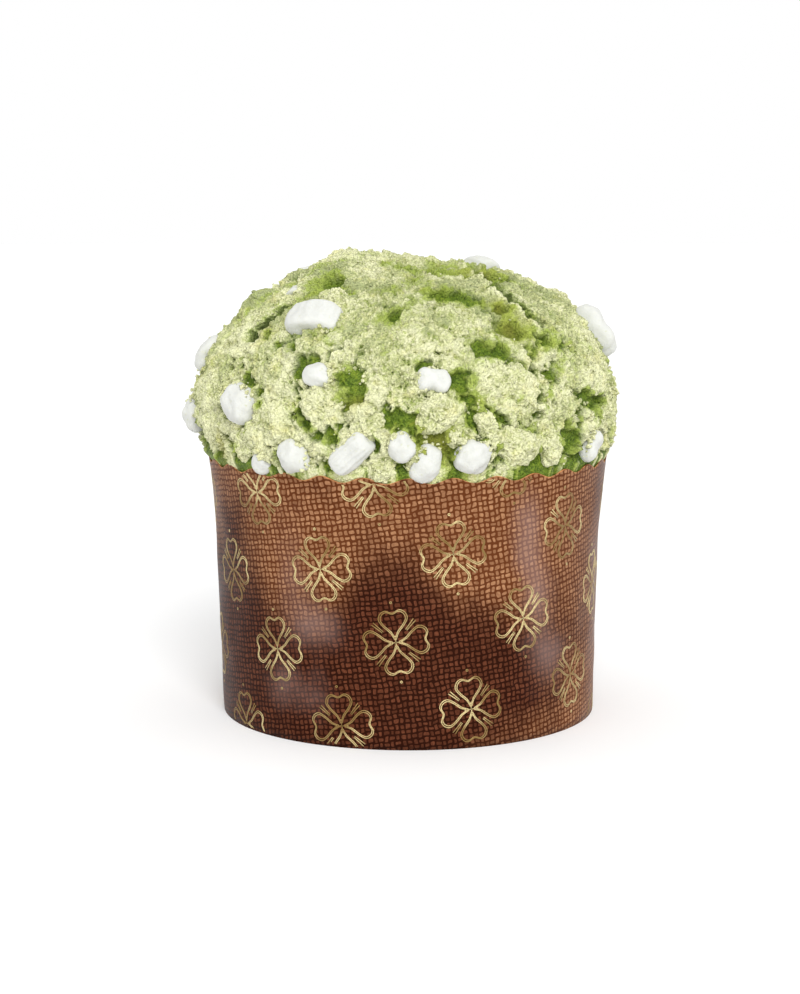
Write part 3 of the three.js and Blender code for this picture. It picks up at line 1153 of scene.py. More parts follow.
@dataclass(frozen=True)
class CrustForm:
    """Crumble of uneven thickness over a glaze, worked out from packed pebbles of several sizes.

    Attributes:
        dome: The dome that it lies on.
        depth: How far the bare glaze lies below the dome's nominal surface.
        gaps: Where the glaze shows at the front.
        thick: Where the crumble surely covers it.
        yellowed: Where glaze and crumble are yellower.
        skins: Where the crust is a smooth skin, raised a little.
        lobes: Where it bulges or dips.
        shaded: Where the crust is painted darker, as painted shade.
        creases: Where the crust has folded or split.
    """

    dome: DomeForm
    depth: float = 3.4
    gaps: tuple[Spot, ...] = GAPS
    thick: tuple[Spot, ...] = THICK
    yellowed: tuple[Spot, ...] = YELLOWED
    skins: tuple[Spot, ...] = SKINS
    lobes: tuple[Swell, ...] = LOBES
    shaded: tuple[Spot, ...] = SHADED
    creases: tuple[Crease, ...] = CREASES

    def _cover(self, points: Array, latitude: Array) -> tuple[Array, Array]:
        """How surely crumble covers each place, and how much green has soaked into it.

        Cover is a bias that grows with latitude, plus fractal noise, less a bell curve round each gap.

        Args:
            points: Places on the nominal dome.
            latitude: Their latitudes in radians.

        Returns:
            The cover, positive where there is crumble, and the stain from 0 to 1.
        """
        upper = smoothstep(*UPPER, latitude)
        cover = 0.36 + 0.32 * upper + 0.60 * Grain(11).fractal(points, 17.0)
        stain = 0.65 * smoothstep(0.0, 0.8, Grain(12).fractal(points, 17.0)) * (0.4 + 0.6 * upper)
        for spot in self.thick:
            cover = cover + 0.5 * bell(self._away(points, spot), spot.radius)
        for gap in self.gaps:
            distance = self._away(points, gap)
            cover = cover - (1.1 + 0.4 * upper) * bell(distance, 0.9 * gap.radius)
            stain = stain + (0.5 + 0.3 * upper) * bell(distance, 1.7 * gap.radius)
        ragged = 0.42 * Grain(13).fractal(points, 4.0) + 0.14 * Grain(14).smooth(points, 1.3)
        stain = stain + 0.8 * smoothstep(0.35, -0.1, cover)
        return cover + ragged, np.clip(stain, 0.0, 1.0)

    def _away(self, points: Array, spot: Spot | Swell) -> Array:
        """Distance from places to the middle of a spot."""
        middle = self.dome.point(np.radians(spot.longitude), np.radians(spot.latitude))
        return np.linalg.norm(points - middle, axis=-1)

    def _bells(self, points: Array, spots: tuple[Spot, ...]) -> Array:
        """The sum of a bell curve round each of some spots."""
        return sum(bell(self._away(points, spot), spot.radius) for spot in spots)

    def _crease(self, points: Array) -> tuple[Array, Array, Array]:
        """Grooves and lips along the creases.

        The distance to a path is the least over its stretches, signed by the side that a place is on.
        Groove and lip die away towards both ends of the path.

        Args:
            points: Places on the nominal dome.

        Returns:
            The lift in millimetres, and how far each place is in a groove and on a lip, from 0 to 1. The
            groove share also holds a painted shadow band beside each groove, on the far side from the lip,
            which has no depth of its own.
        """
        lift = np.zeros(points.shape[:-1])
        groove, ridge = np.zeros_like(lift), np.zeros_like(lift)
        wander = np.stack([Grain(seed).smooth(points, 6.0) for seed in (15, 16, 17)], axis=-1)
        moved = points + 0.9 * wander
        for crease in self.creases:
            corners = np.radians(np.array(crease.path, float))
            line = self.dome.point(corners[:, 0], corners[:, 1])
            nearest = np.full(lift.shape, 1e9)
            side, along = np.zeros_like(lift), np.zeros_like(lift)
            for stretch, (start, end) in enumerate(zip(line[:-1], line[1:])):
                run = end - start
                share = np.clip((moved - start) @ run / (run @ run), 0.0, 1.0)
                offset = moved - start - share[..., None] * run
                distance = np.linalg.norm(offset, axis=-1)
                out = unit(start - np.array([0.0, 0.0, self.dome.centre]))
                closer = distance < nearest
                side = np.where(closer, np.sign(offset @ np.cross(out, run)), side)
                along = np.where(closer, (stretch + share) / (len(line) - 1), along)
                nearest = np.minimum(nearest, distance)
            taper = smoothstep(0.0, 0.15, along) * smoothstep(1.0, 0.88, along)
            cut = bell(nearest, crease.width) * taper
            on_lip = smoothstep(-0.6, 0.6, side * crease.side * nearest)
            # Painted shadow: a band beside the groove on the far side from the lip. It counts as groove for
            # colour only.
            far = 0.7 * (1.0 - on_lip) * bell(nearest - crease.width, 1.2 * crease.width) * taper
            lift = lift - crease.step * (1.0 - on_lip) * bell(nearest, 11.0) * taper
            lip = bell(nearest - 0.7 * crease.lip, crease.lip) * on_lip * (0.3 + 0.7 * taper)
            lift = lift - crease.depth * cut + crease.ridge * lip
            groove = np.maximum(groove, np.maximum(cut, far))
            ridge = np.maximum(ridge, lip)
        return lift, groove, ridge

    def at(self, longitude: Array, latitude: Array) -> Relief:
        """The relief at places on the dome.

        Crumble is a sum of granules about 12, 5, 2.7 and 1.3 mm wide, with fine fluff and a few pits.
        Where there is none, the glaze lies at its own depth, with low granules under it.

        Args:
            longitude: Angles in radians.
            latitude: Angles in radians.

        Returns:
            The lift and the marks.
        """
        points = self.dome.point(longitude, latitude)
        sway = sway_of(points)
        swayed = points + 1.2 * sway
        lower = smoothstep(*UPPER[::-1], latitude)
        cover, stain = self._cover(swayed, latitude)
        groove_lift, groove, ridge = self._crease(points)
        cover = cover + 1.3 * ridge * (1.0 - groove) - 1.1 * groove
        front = 0.5 + 0.5 * np.cos(longitude)
        cover = cover - 0.5 * (1.0 - front**2) * smoothstep(*SKIRT, latitude)
        stain = stain * (1.0 - 0.8 * ridge)
        upper = 1.0 - lower
        crumb = smoothstep(-0.06 - 0.25 * upper, 0.12 + 0.3 * upper, cover)
        clump, clump_step = Grain(31).granules(points + 2.0 * sway, 12.0)
        lump, lump_step, fine = fine_crumble(points, sway, 1.2)
        skin = self._bells(points, self.skins)
        stain = stain * (1.0 - 0.5 * np.clip(skin, 0.0, 1.0))
        rough = 1.0 - 0.85 * np.clip(skin, 0.0, 1.0)
        coarse = (2.1 + 0.3 * lower) * clump + (1.3 + 0.2 * lower) * clump_step
        coarse = coarse + 1.1 * Grain(40).fractal(points, 13.0, 2) + 1.0 * skin
        reach = math.radians(1.0) * self.dome.radius
        bulge = sum(lobe.height * bell(self._away(points, lobe), lobe.spread * reach) for lobe in self.lobes)
        middle = ((1.2 + 0.3 * upper) * lump + (0.75 + 0.15 * lower) * lump_step) * rough
        fine = fine * rough
        wet, wet_step = Grain(37).granules(swayed, 2.2)
        glaze = -self.depth + 0.5 * Grain(38).fractal(points, 6.0) + 0.5 * wet + 0.35 * wet_step
        lift = glaze * (1.0 - crumb) + (coarse + middle + fine - 0.2) * crumb + groove_lift + bulge
        # Painted shade: the relief mark falls between granules, in grooves and in their painted band, and
        # the finish paints low relief greener and darker.
        height = 0.53 + 0.24 * fine + 0.18 * middle + 0.08 * coarse - 0.8 * groove + 0.1 * skin
        # Painted light: the tone is raised towards the lower front, where the light falls. The fractal noise
        # and the skins are the crust's own tone.
        tone = 0.39 + 0.46 * lower * front + 0.42 * Grain(39).fractal(points, 15.0) - 0.06 * skin
        # Painted shade: darker round the shaded spots.
        tone = tone - 0.22 * self._bells(points, self.shaded)
        # Each granule has a tone of its own. Lobes that bulge out are painted darker, as painted shade, and
        # the ridge is made lighter.
        tone = tone + (0.25 + 0.2 * upper) * lump_step - 0.08 * np.maximum(bulge, 0.0) + 0.3 * ridge
        # Painted shade: the upper left of the dome is painted darker.
        tone = tone - 0.14 * smoothstep(0.0, 1.2, -longitude) * upper
        gild = self._bells(swayed, self.yellowed)
        gild = gild * (1.0 - 0.8 * ridge)
        height, tone, gild = (np.clip(values, 0.0, 1.0) for values in (height, tone, gild))
        return Relief(lift, crumb, height, stain, tone, gild)


@dataclass
class Loaf:
    """The baked loaf: the crust over its dome, in wedges, and the sponge inside the case.

    Attributes:
        crust: The crust's form.
        wall: The case's wall, which the loaf fills.
        wedges: How many wedges the crust is made in.
        columns: Grid points across a wedge.
        rows: Grid points from the foot of the dome to its crown.
        neck_rows: Grid points down the neck, inside the rim.
        foot: Latitude where the dome turns in over the rim, in degrees.
        neck_drop: How far the crust reaches down inside the case.
        clearance: Gap between the loaf and the paper.
        underside: Height of the sponge's flat bottom.
        corner: Radius of the sponge's rounded bottom edge.
    """

    crust: CrustForm
    wall: WallForm
    wedges: int = 4
    columns: int = 330
    rows: int = 284
    neck_rows: int = 12
    foot: float = -12.0
    neck_drop: float = 9.0
    clearance: float = 0.5
    underside: float = 1.2
    corner: float = 7.0

    def _wedge(self, start: float, end: float) -> Surface:
        """One wedge of the crust, closed to a point at the dome's centre.

        Rows go from inside the rim, out over it, and up to the crown. The neck blends from the wall's
        inside to the foot of the dome along a smooth step.

        Args:
            start: First longitude in radians.
            end: Last longitude in radians.

        Returns:
            The closed wedge with its marks.
        """
        foot = math.radians(self.foot)
        longitude = np.linspace(start, end, self.columns)[None, :]
        latitude = np.linspace(foot, 0.5 * np.pi, self.rows + 1)[:-1, None]
        longitude, latitude = np.broadcast_arrays(longitude, latitude)
        relief = self.crust.at(longitude, latitude)
        fade = smoothstep(foot, foot + 0.05, latitude)
        dome = self.crust.dome.point(longitude, latitude, relief.lift * (0.25 + 0.75 * fade))
        share = np.linspace(0.0, 1.0, self.neck_rows, endpoint=False)[:, None]
        level = np.zeros((1, self.columns))
        gap = -self.wall.paper - self.clearance
        inside = self.wall.point(longitude[:1], level + self.wall.height - self.neck_drop, gap)
        lip = self.wall.point(longitude[:1], level + self.wall.height - self.wall.scallop_rise, gap)
        low = inside + (lip - inside) * np.minimum(share * 2.0, 1.0)[..., None]
        neck = low + (dome[:1] - lip) * smoothstep(0.5, 1.0, share)[..., None]
        crown_relief = self.crust.at(np.zeros(1), np.full(1, 0.5 * np.pi))
        crown = self.crust.dome.point(np.zeros(1), np.full(1, 0.5 * np.pi), crown_relief.lift)
        heart = np.array([[0.0, 0.0, self.wall.height - self.neck_drop + 1.0]])
        points = np.concatenate([neck.reshape(-1, 3), dome.reshape(-1, 3), crown, heart])
        columns, rows = self.columns, self.rows + self.neck_rows
        top, centre = rows * columns, rows * columns + 1
        across, up, last = np.arange(columns - 1), np.arange(rows - 1) * columns, (rows - 1) * columns
        left = np.append(np.stack([up, up + columns], axis=-1), [[last, top]], axis=0)
        right = np.append(np.stack([up + columns, up], axis=-1) + columns - 1, [[top, top - 1]], axis=0)
        bottom = np.stack([across + 1, across], axis=-1)
        sides = np.concatenate([left, right, bottom])
        crown_fan = np.stack([np.full(columns - 1, top), last + across, last + across + 1], axis=-1)
        triangles = np.concatenate([crown_fan, np.column_stack([np.full(len(sides), centre), sides])])
        surface = Surface(points, lattice(rows, columns), triangles, flat=len(sides))
        crown_marks = crown_relief.marks()
        for name, values in relief.marks().items():
            ends = [crown_marks[name], crown_marks[name]]
            surface.marks[name] = np.concatenate([np.tile(values[:columns], self.neck_rows), values, *ends])
        return surface

    def crust_pieces(self, finish: bpy.types.Material) -> list[bpy.types.Object]:
        """The crust's wedges.

        Args:
            finish: The crumble's finish.

        Returns:
            One piece for each wedge.
        """
        borders = np.linspace(-0.25, 1.75, self.wedges + 1) * np.pi
        names = ("front", "right", "back", "left")
        return [
            self._wedge(start, end).piece(f"crumble_crust_{names[k]}", finish)
            for k, (start, end) in enumerate(zip(borders[:-1], borders[1:]))
        ]

    def sponge_piece(self, finish: bpy.types.Material) -> bpy.types.Object:
        """The sponge inside the case: the wall's inside as a closed drum with a rounded bottom edge.

        Args:
            finish: The sponge's finish.

        Returns:
            The piece.
        """
        columns, corner = 180, self.corner
        top = self.wall.height - self.neck_drop - 1.5
        turn = np.linspace(0.0, 0.5 * np.pi, 8)
        heights = self.underside + corner * (1.0 - np.cos(turn))
        insets = corner * (1.0 - np.sin(turn))
        heights = np.append(heights, [40.0, 70.0, 90.0, top])
        insets = np.append(insets, [0.0] * 4)
        longitude = np.linspace(0.0, 2.0 * np.pi, columns, endpoint=False)[None, :]
        gap = -self.wall.paper - 2.0 * self.clearance
        rings = self.wall.point(longitude, heights[:, None] + 0.0 * longitude, gap - insets[:, None])
        surface = drum(rings, (0.0, 0.0, self.underside), (0.0, 0.0, top))
        return surface.piece("loaf_sponge", finish)


# ---- toppings ----


class Cut(Enum):
    """How a marshmallow lies: a barrel across or along its seat, or a torn piece."""

    ACROSS = 0
    ALONG = 1
    TORN = 2


@dataclass(frozen=True)
class Seat:
    """Where a topping sits on the dome, measured from its own solid.

    Attributes:
        centre: Its middle.
        axes: Its long, wide and outward directions, one to a row.
        half: Half its size along each.
    """

    centre: Array
    axes: Array
    half: Array

    @classmethod
    def of_node(cls, name: str, dome: DomeForm) -> "Seat":
        """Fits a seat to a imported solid: outward is the dome's, and long is where its points spread most.

        Args:
            name: The solid's node.
            dome: The dome that it sits on.

        Returns:
            The seat.
        """
        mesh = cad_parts[name].data
        points = np.zeros(len(mesh.vertices) * 3, np.float32)
        mesh.vertices.foreach_get("co", points)
        points = np.unique(points.reshape(-1, 3).astype(float).round(6), axis=0) / MM
        middle = 0.5 * (points.min(axis=0) + points.max(axis=0))
        longitude, latitude = dome.locate(middle)
        east, north, out = dome.tangents(float(longitude), float(latitude))
        flat = np.stack([(points - middle) @ east, (points - middle) @ north], axis=-1)
        _, directions = np.linalg.eigh(np.cov(flat.T))
        along = directions[0, 1] * east + directions[1, 1] * north
        axes = np.stack([along, np.cross(out, along), out])
        spans = (points - middle) @ axes.T
        low, high = spans.min(axis=0), spans.max(axis=0)
        return cls(middle + 0.5 * (low + high) @ axes, axes, 0.5 * (high - low))


@dataclass
class Topping:
    """Something pressed into the dome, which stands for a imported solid.

    Attributes:
        node: The solid's node.
        number: Tells its noise from the others'.
        seat: Where it sits.
        manner: What its piece's name starts with.
    """

    node: str
    number: int
    seat: Seat
    manner: ClassVar[str] = ""

    def surface(self) -> Surface:
        """Its closed surface, which each kind of topping works out in its own way."""
        raise NotImplementedError

    def piece(self, finish: bpy.types.Material) -> bpy.types.Object:
        """Makes the topping and lets it stand for its solid.

        Args:
            finish: Its finish.

        Returns:
            The piece.
        """
        made = self.surface().piece(f"{self.manner}_{self.node}", finish)
        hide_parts(self.node)
        return made


@dataclass
class Marshmallow(Topping):
    """One marshmallow.

    Attributes:
        cut: How it lies.
        ribs: Height of the ribs round a barrel's side.
    """

    cut: Cut = Cut.TORN
    ribs: float = 0.14
    manner: ClassVar[str] = "soft"

    def surface(self) -> Surface:
        """A rounded barrel or a torn block, with ribs round a barrel's side and soft dents all over.

        A barrel reaches to where ((|x|^p + |z|^p)^(q/p) + |y|^q)^(1/q) is 1, with y along its axis: p
        near 2 keeps it round and q near 5 flattens its ends. A torn block has both near 2.5.

        Returns:
            The closed surface.
        """
        directions, ball = globe(72, 46)
        order = {Cut.ACROSS: (0, 1, 2), Cut.ALONG: (1, 0, 2), Cut.TORN: (0, 1, 2)}[self.cut]
        side, axis, out = (directions[:, k] for k in order)
        p, q = (2.5, 2.5) if self.cut is Cut.TORN else (2.3, 5.0)
        reach = ((np.abs(side) ** p + np.abs(out) ** p) ** (q / p) + np.abs(axis) ** q) ** (-1.0 / q)
        shape = directions * reach[:, None] * self.seat.half
        around = np.arctan2(out, side)
        grain = Grain(100 + self.number)
        rough = 1.0 if self.cut is Cut.TORN else 0.55
        swell = 1.15 * rough * grain.smooth(shape, 6.0) + 0.4 * rough * grain.smooth(shape, 2.8)
        swell += 0.08 * grain.smooth(shape, 1.0)
        if self.cut is not Cut.TORN:
            belly = smoothstep(0.95, 0.6, np.abs(axis) * reach)
            swell += self.ribs * belly * np.cos(15.0 * around + 1.5 * grain.smooth(shape, 8.0))
        shape = shape + directions * swell[:, None]
        ball.points = self.seat.centre + shape @ self.seat.axes
        return ball


@dataclass
class CrumbleLump(Topping):
    """One loose lump of crumble."""

    manner: ClassVar[str] = "pressed"

    def surface(self) -> Surface:
        """A squarish ball displaced by a broad swell and by granules about 5, 2.7 and 1.3 mm wide.

        Returns:
            The closed surface with its marks.
        """
        directions, ball = globe(120, 76)
        shape = directions * (np.abs(directions) ** 2.4).sum(axis=1, keepdims=True) ** (-1.0 / 2.4)
        shape = shape * self.seat.half * np.array([0.94, 0.94, 1.0])
        place = shape + 40.0 * self.number
        lump, lump_step, relief = fine_crumble(place, sway_of(place), 1.0)
        coarse = 2.8 * Grain(300 + self.number).smooth(place, 7.5) + 1.1 * lump + 0.8 * lump_step
        ball.points = self.seat.centre + (shape + directions * (coarse + relief)[:, None]) @ self.seat.axes
        tone = 0.66 + 0.25 * Grain(39).smooth(place, 9.0) + 0.25 * lump_step
        height = np.clip(0.55 + 0.2 * relief + 0.08 * coarse, 0.0, 1.0)
        stain = 0.35 * smoothstep(0.3, -0.6, directions[:, 2])
        none = np.zeros(len(relief))
        ball.marks = Relief(coarse, none + 1.0, height, stain, np.clip(tone, 0.0, 1.0), none).marks()
        return ball


@dataclass
class LooseCrumbs:
    """Thousands of small crumbs over the crust, and thicker round each marshmallow.

    Attributes:
        crust: The crust that they lie on.
        count: Crumbs scattered over the dome.
        each: Crumbs round each marshmallow.
        cap: How many of them lie over its upper end.
        steepest: Latitude in degrees above which none do, and only a third lie round it.
        smallest: Radius of the smallest.
        largest: Radius of the largest.
        batches: How many pieces they are joined into.
        lowest: Latitude in degrees that scattered ones reach down to.
        skirt: Latitude in degrees below which none are kept.
    """

    crust: CrustForm
    count: int = 9000
    each: int = 130
    cap: int = 80
    steepest: float = 21.0
    smallest: float = 0.35
    largest: float = 1.2
    batches: int = 3
    lowest: float = -11.0
    skirt: float = -11.5

    @staticmethod
    def _bead() -> Surface:
        """A ball of 24 quads: a cube with its sides halved, pushed out to a sphere.

        Returns:
            The closed surface at radius 1.
        """
        steps = np.array([-1.0, 0.0, 1.0])
        grid = np.stack(np.meshgrid(steps, steps, steps, indexing="ij"), axis=-1).reshape(-1, 3)
        keep = np.abs(grid).max(axis=1) == 1.0
        numbers = np.cumsum(keep) - 1
        faces = []
        for axis in range(3):
            a, b = (axis + 1) % 3, (axis + 2) % 3
            for sign in (-1, 1):
                for i, j in np.ndindex(2, 2):
                    corners = [(i, j), (i + 1, j), (i + 1, j + 1), (i, j + 1)]
                    if sign < 0:
                        corners.reverse()
                    place = np.zeros((4, 3), int)
                    place[:, axis] = 2 if sign > 0 else 0
                    place[:, a], place[:, b] = np.array(corners).T
                    faces.append(numbers[place @ np.array([9, 3, 1])])
        return Surface(unit(grid[keep]), np.array(faces))

    def _places(self, seats: list[Seat]) -> tuple[Array, Array, Array, Array]:
        """Where the crumbs lie and how large they are.

        Scattered crumbs follow the golden angle with a random shift. Crumbs round a marshmallow lie on
        an ellipse about as wide as it is, and those within it ride up its shoulder.

        Args:
            seats: The marshmallows' seats.

        Returns:
            Longitudes, latitudes, radii and heights above the dome, -1 where a crumb lies on the crust.
        """
        chance = np.random.default_rng(7)
        turn = np.arange(self.count)
        sines = chance.uniform(math.sin(math.radians(self.lowest)), 1.0, self.count)
        longitude = [turn * math.pi * (3.0 - math.sqrt(5.0)) + chance.normal(0.0, 0.05, self.count)]
        latitude = [np.arcsin(sines)]
        height = [np.full(self.count, -1.0)]
        for seat in seats:
            steep = self.crust.dome.locate(seat.centre)[1] > math.radians(self.steepest)
            capping = np.arange(self.each // 3 if steep else self.each) < (0 if steep else self.cap)
            nearest = 1.04 if steep else 0.97
            angle = chance.normal(0.5 * np.pi, np.where(capping, 0.6, 1.6))
            wide = chance.uniform(np.where(capping, 0.88, nearest), np.where(capping, 1.1, 1.2))
            north = np.sign(seat.axes[1, 2])
            flat = np.stack([np.cos(angle), north * np.sin(angle)], axis=-1)
            flat = flat * ((np.abs(flat) ** 3.0).sum(axis=-1) ** (-1.0 / 3.0) * wide)[:, None]
            places = seat.centre + (flat * seat.half[:2]) @ seat.axes[:2]
            around = self.crust.dome.locate(places)
            above = np.linalg.norm(places - np.array([0.0, 0.0, self.crust.dome.centre]), axis=-1)
            above = above - self.crust.dome.reach(*around)
            shoulder = seat.half[2] * np.clip(1.0 - wide**2.4, 0.0, 1.0) ** (1.0 / 2.4) - 0.6
            longitude.append(around[0])
            latitude.append(around[1])
            height.append(np.where(wide < 1.0, above + shoulder, -1.0))
        longitude, latitude, height = (np.concatenate(values) for values in (longitude, latitude, height))
        share = chance.uniform(0.0, 1.0, len(longitude)) ** 2.6
        radius = self.smallest + (self.largest - self.smallest) * share
        keep = latitude > math.radians(self.skirt)
        return longitude[keep], latitude[keep], radius[keep], height[keep]

    def pieces(self, seats: list[Seat], finish: bpy.types.Material) -> list[bpy.types.Object]:
        """Makes the crumbs, each a bead stretched, turned and roughened in its own way.

        Args:
            seats: The marshmallows' seats.
            finish: The crumble's finish.

        Returns:
            The joined pieces.
        """
        longitude, latitude, radius, height = self._places(seats)
        relief = self.crust.at(longitude, latitude)
        thin = relief.crumb < 0.5
        chance = np.random.default_rng(8)
        lower = smoothstep(math.radians(40), math.radians(6), latitude)
        wanted = np.where(thin, 0.3, 1.0) * (0.25 + 0.75 * lower)
        places = self.crust.dome.point(longitude, latitude)
        wanted = wanted * smoothstep(-0.3, 0.5, Grain(71).smooth(places, 9.0))
        draw = chance.uniform(0.0, 1.0, len(radius))
        keep = (draw < wanted) | ((height > -1.0) & (~thin | (draw < 0.2)))
        bead = self._bead()
        count, corners = int(keep.sum()), len(bead.points)
        lift = np.where(height > -1.0, height, relief.lift)[keep] + 0.25 * radius[keep]
        centres = self.crust.dome.point(longitude[keep], latitude[keep], lift)
        turns = np.linalg.qr(chance.normal(0.0, 1.0, (count, 3, 3)))[0]
        turns[np.linalg.det(turns) < 0.0] *= -1.0
        stretch = chance.uniform(0.65, 1.25, (count, 1, 3)) * radius[keep][:, None, None]
        rough = chance.uniform(0.6, 1.25, (count, corners, 1))
        points = centres[:, None, :] + (bead.points[None] * rough * stretch) @ turns
        # Crumbs on the crust take its tone, painted light and shade included. Those on a marshmallow are
        # pale.
        tone = np.where(height > -1.0, 0.85, relief.tone)[keep]
        tone = np.clip(tone + chance.normal(0.0, 0.12, count), 0.0, 1.0)
        made = []
        for batch, members in enumerate(np.array_split(np.arange(count), self.batches)):
            shifts = np.arange(len(members))[:, None, None] * corners
            surface = Surface(points[members].reshape(-1, 3), (bead.quads[None] + shifts).reshape(-1, 4))
            none = np.zeros(len(members) * corners)
            tones = np.repeat(tone[members], corners)
            surface.marks = Relief(none, none + 1.0, none + 0.5, none, tones, none).marks()
            made.append(surface.piece(f"loose_crumbs_{batch + 1}", finish))
        return made


# ---- the baking case ----


@dataclass(frozen=True)
class Ornament:
    """A four-leaf sprig, drawn as thin lines in millimetres about its middle.

    Attributes:
        leaf: Half the outline of a leaf, as distances out from the middle and to one side.
        inner: Size of the second line inside a leaf, as a share of the first.
        heart: Distance of a leaf's own middle from the ornament's.
        sprig: How far the twin lines between the leaves reach.
        dot: Distance of the dots above and below.
        line: Width of a line.
    """

    leaf: tuple[tuple[float, float], ...] = (
        (1.0, 0.0),
        (3.9, 1.5),
        (7.0, 4.3),
        (9.8, 5.9),
        (12.3, 5.0),
        (13.3, 2.8),
        (12.2, 0.0),
    )
    inner: float = 0.87
    heart: float = 8.7
    sprig: float = 12.2
    dot: float = 16.5
    line: float = 0.42

    @staticmethod
    def _curve(corners: Array, steps: int) -> Array:
        """A smooth curve through points, by Catmull-Rom: each stretch is a cubic whose ends' slopes
        are half the step from the point before to the point after.

        Args:
            corners: The points.
            steps: Points made on each stretch.

        Returns:
            The curve, without its last point.
        """
        before, after = np.roll(corners, 1, axis=0), np.roll(corners, -1, axis=0)
        beyond = np.roll(corners, -2, axis=0)
        t = np.linspace(0.0, 1.0, steps, endpoint=False)[:, None, None]
        first, second = 0.5 * (after - before), 0.5 * (beyond - corners)
        cubic = (2 * t**3 - 3 * t**2 + 1) * corners + (t**3 - 2 * t**2 + t) * first
        cubic = cubic + (-2 * t**3 + 3 * t**2) * after + (t**3 - t**2) * second
        return cubic.transpose(1, 0, 2).reshape(-1, 2)

    def strokes(self) -> list[tuple[Array, bool]]:
        """Every line of the ornament.

        Returns:
            Pairs of a path of points and whether it closes on itself.
        """
        half = np.array(self.leaf)
        mirrored = half[1:-1][::-1] * np.array([1.0, -1.0])
        outline = self._curve(np.concatenate([half, mirrored]), 3)
        middle = np.array([self.heart, 0.0])
        lines: list[tuple[Array, bool]] = []
        for quarter in range(4):
            quarter_turn = spin(0.5 * math.pi * quarter)
            for size in (1.0, self.inner):
                lines.append(((middle + (outline - middle) * size) @ quarter_turn, True))
            out = np.linspace(0.55 * self.sprig, self.sprig, 4)
            for side in (-1.0, 1.0):
                bow = side * (0.25 + 0.35 * (out / self.sprig) ** 3)
                twin = np.stack([out, bow], axis=-1) @ np.array([[1.0, 1.0], [-1.0, 1.0]]) / math.sqrt(2.0)
                lines.append((twin @ quarter_turn, False))
            ray = np.stack([np.linspace(0.2, 3.0, 2), np.zeros(2)], axis=-1)
            lines.append((ray @ quarter_turn, False))
        ring = np.linspace(0.0, 2.0 * np.pi, 8, endpoint=False)
        for side in (-1.0, 1.0):
            circle = 0.42 * np.stack([np.cos(ring), np.sin(ring)], axis=-1)
            lines.append((circle + np.array([0.0, side * self.dot]), True))
        return lines


@dataclass(frozen=True)
class Blotch:
    """A soft patch on the case's wall: its place in degrees and millimetres, its spreads and strength."""

    longitude: float
    height: float
    wide: float
    tall: float
    amount: float

    def at(self, longitude: Array, height: Array) -> Array:
        """Its strength at places on the wall, a bell curve of the angle times one of the height.

        Args:
            longitude: Angles in radians.
            height: Heights in millimetres.

        Returns:
            The strengths.
        """
        angle = np.degrees(longitude) - self.longitude
        around = (angle + 180.0) % 360.0 - 180.0
        return self.amount * bell(around, self.wide) * bell(height - self.height, self.tall)


SOAKED = each(
    Blotch,
    (-1, 28, 31, 40, 1.15), (-68, 20, 24, 54, 1.5), (76, 60, 10, 60, 0.35), (-38, 14, 24, 32, 0.8),
    (40, 10, 22, 26, 0.5), (-7, 64, 13, 16, 0.5), (58, 50, 16, 24, 0.35), (-64, 84, 8, 16, 0.25),
    (150, 30, 30, 40, 0.6), (-130, 24, 26, 34, 0.8),
)

# Painted sheen: blotches where the paper is painted paler and mauve, as its satin reflection.
PAINTED_SHEEN_BLOTCHES = each(
    Blotch,
    (-36, 70, 7, 26, 0.35), (-27, 50, 8, 9, 0.6), (-39, 23, 8, 10, 0.45), (35, 88, 6, 18, 0.65),
    (39, 60, 6, 16, 0.55), (45, 34, 8, 14, 0.6), (74, 60, 9, 60, 0.4), (-28, 20, 7, 12, 0.3),
    (130, 60, 10, 30, 0.4), (-160, 50, 9, 34, 0.4),
)


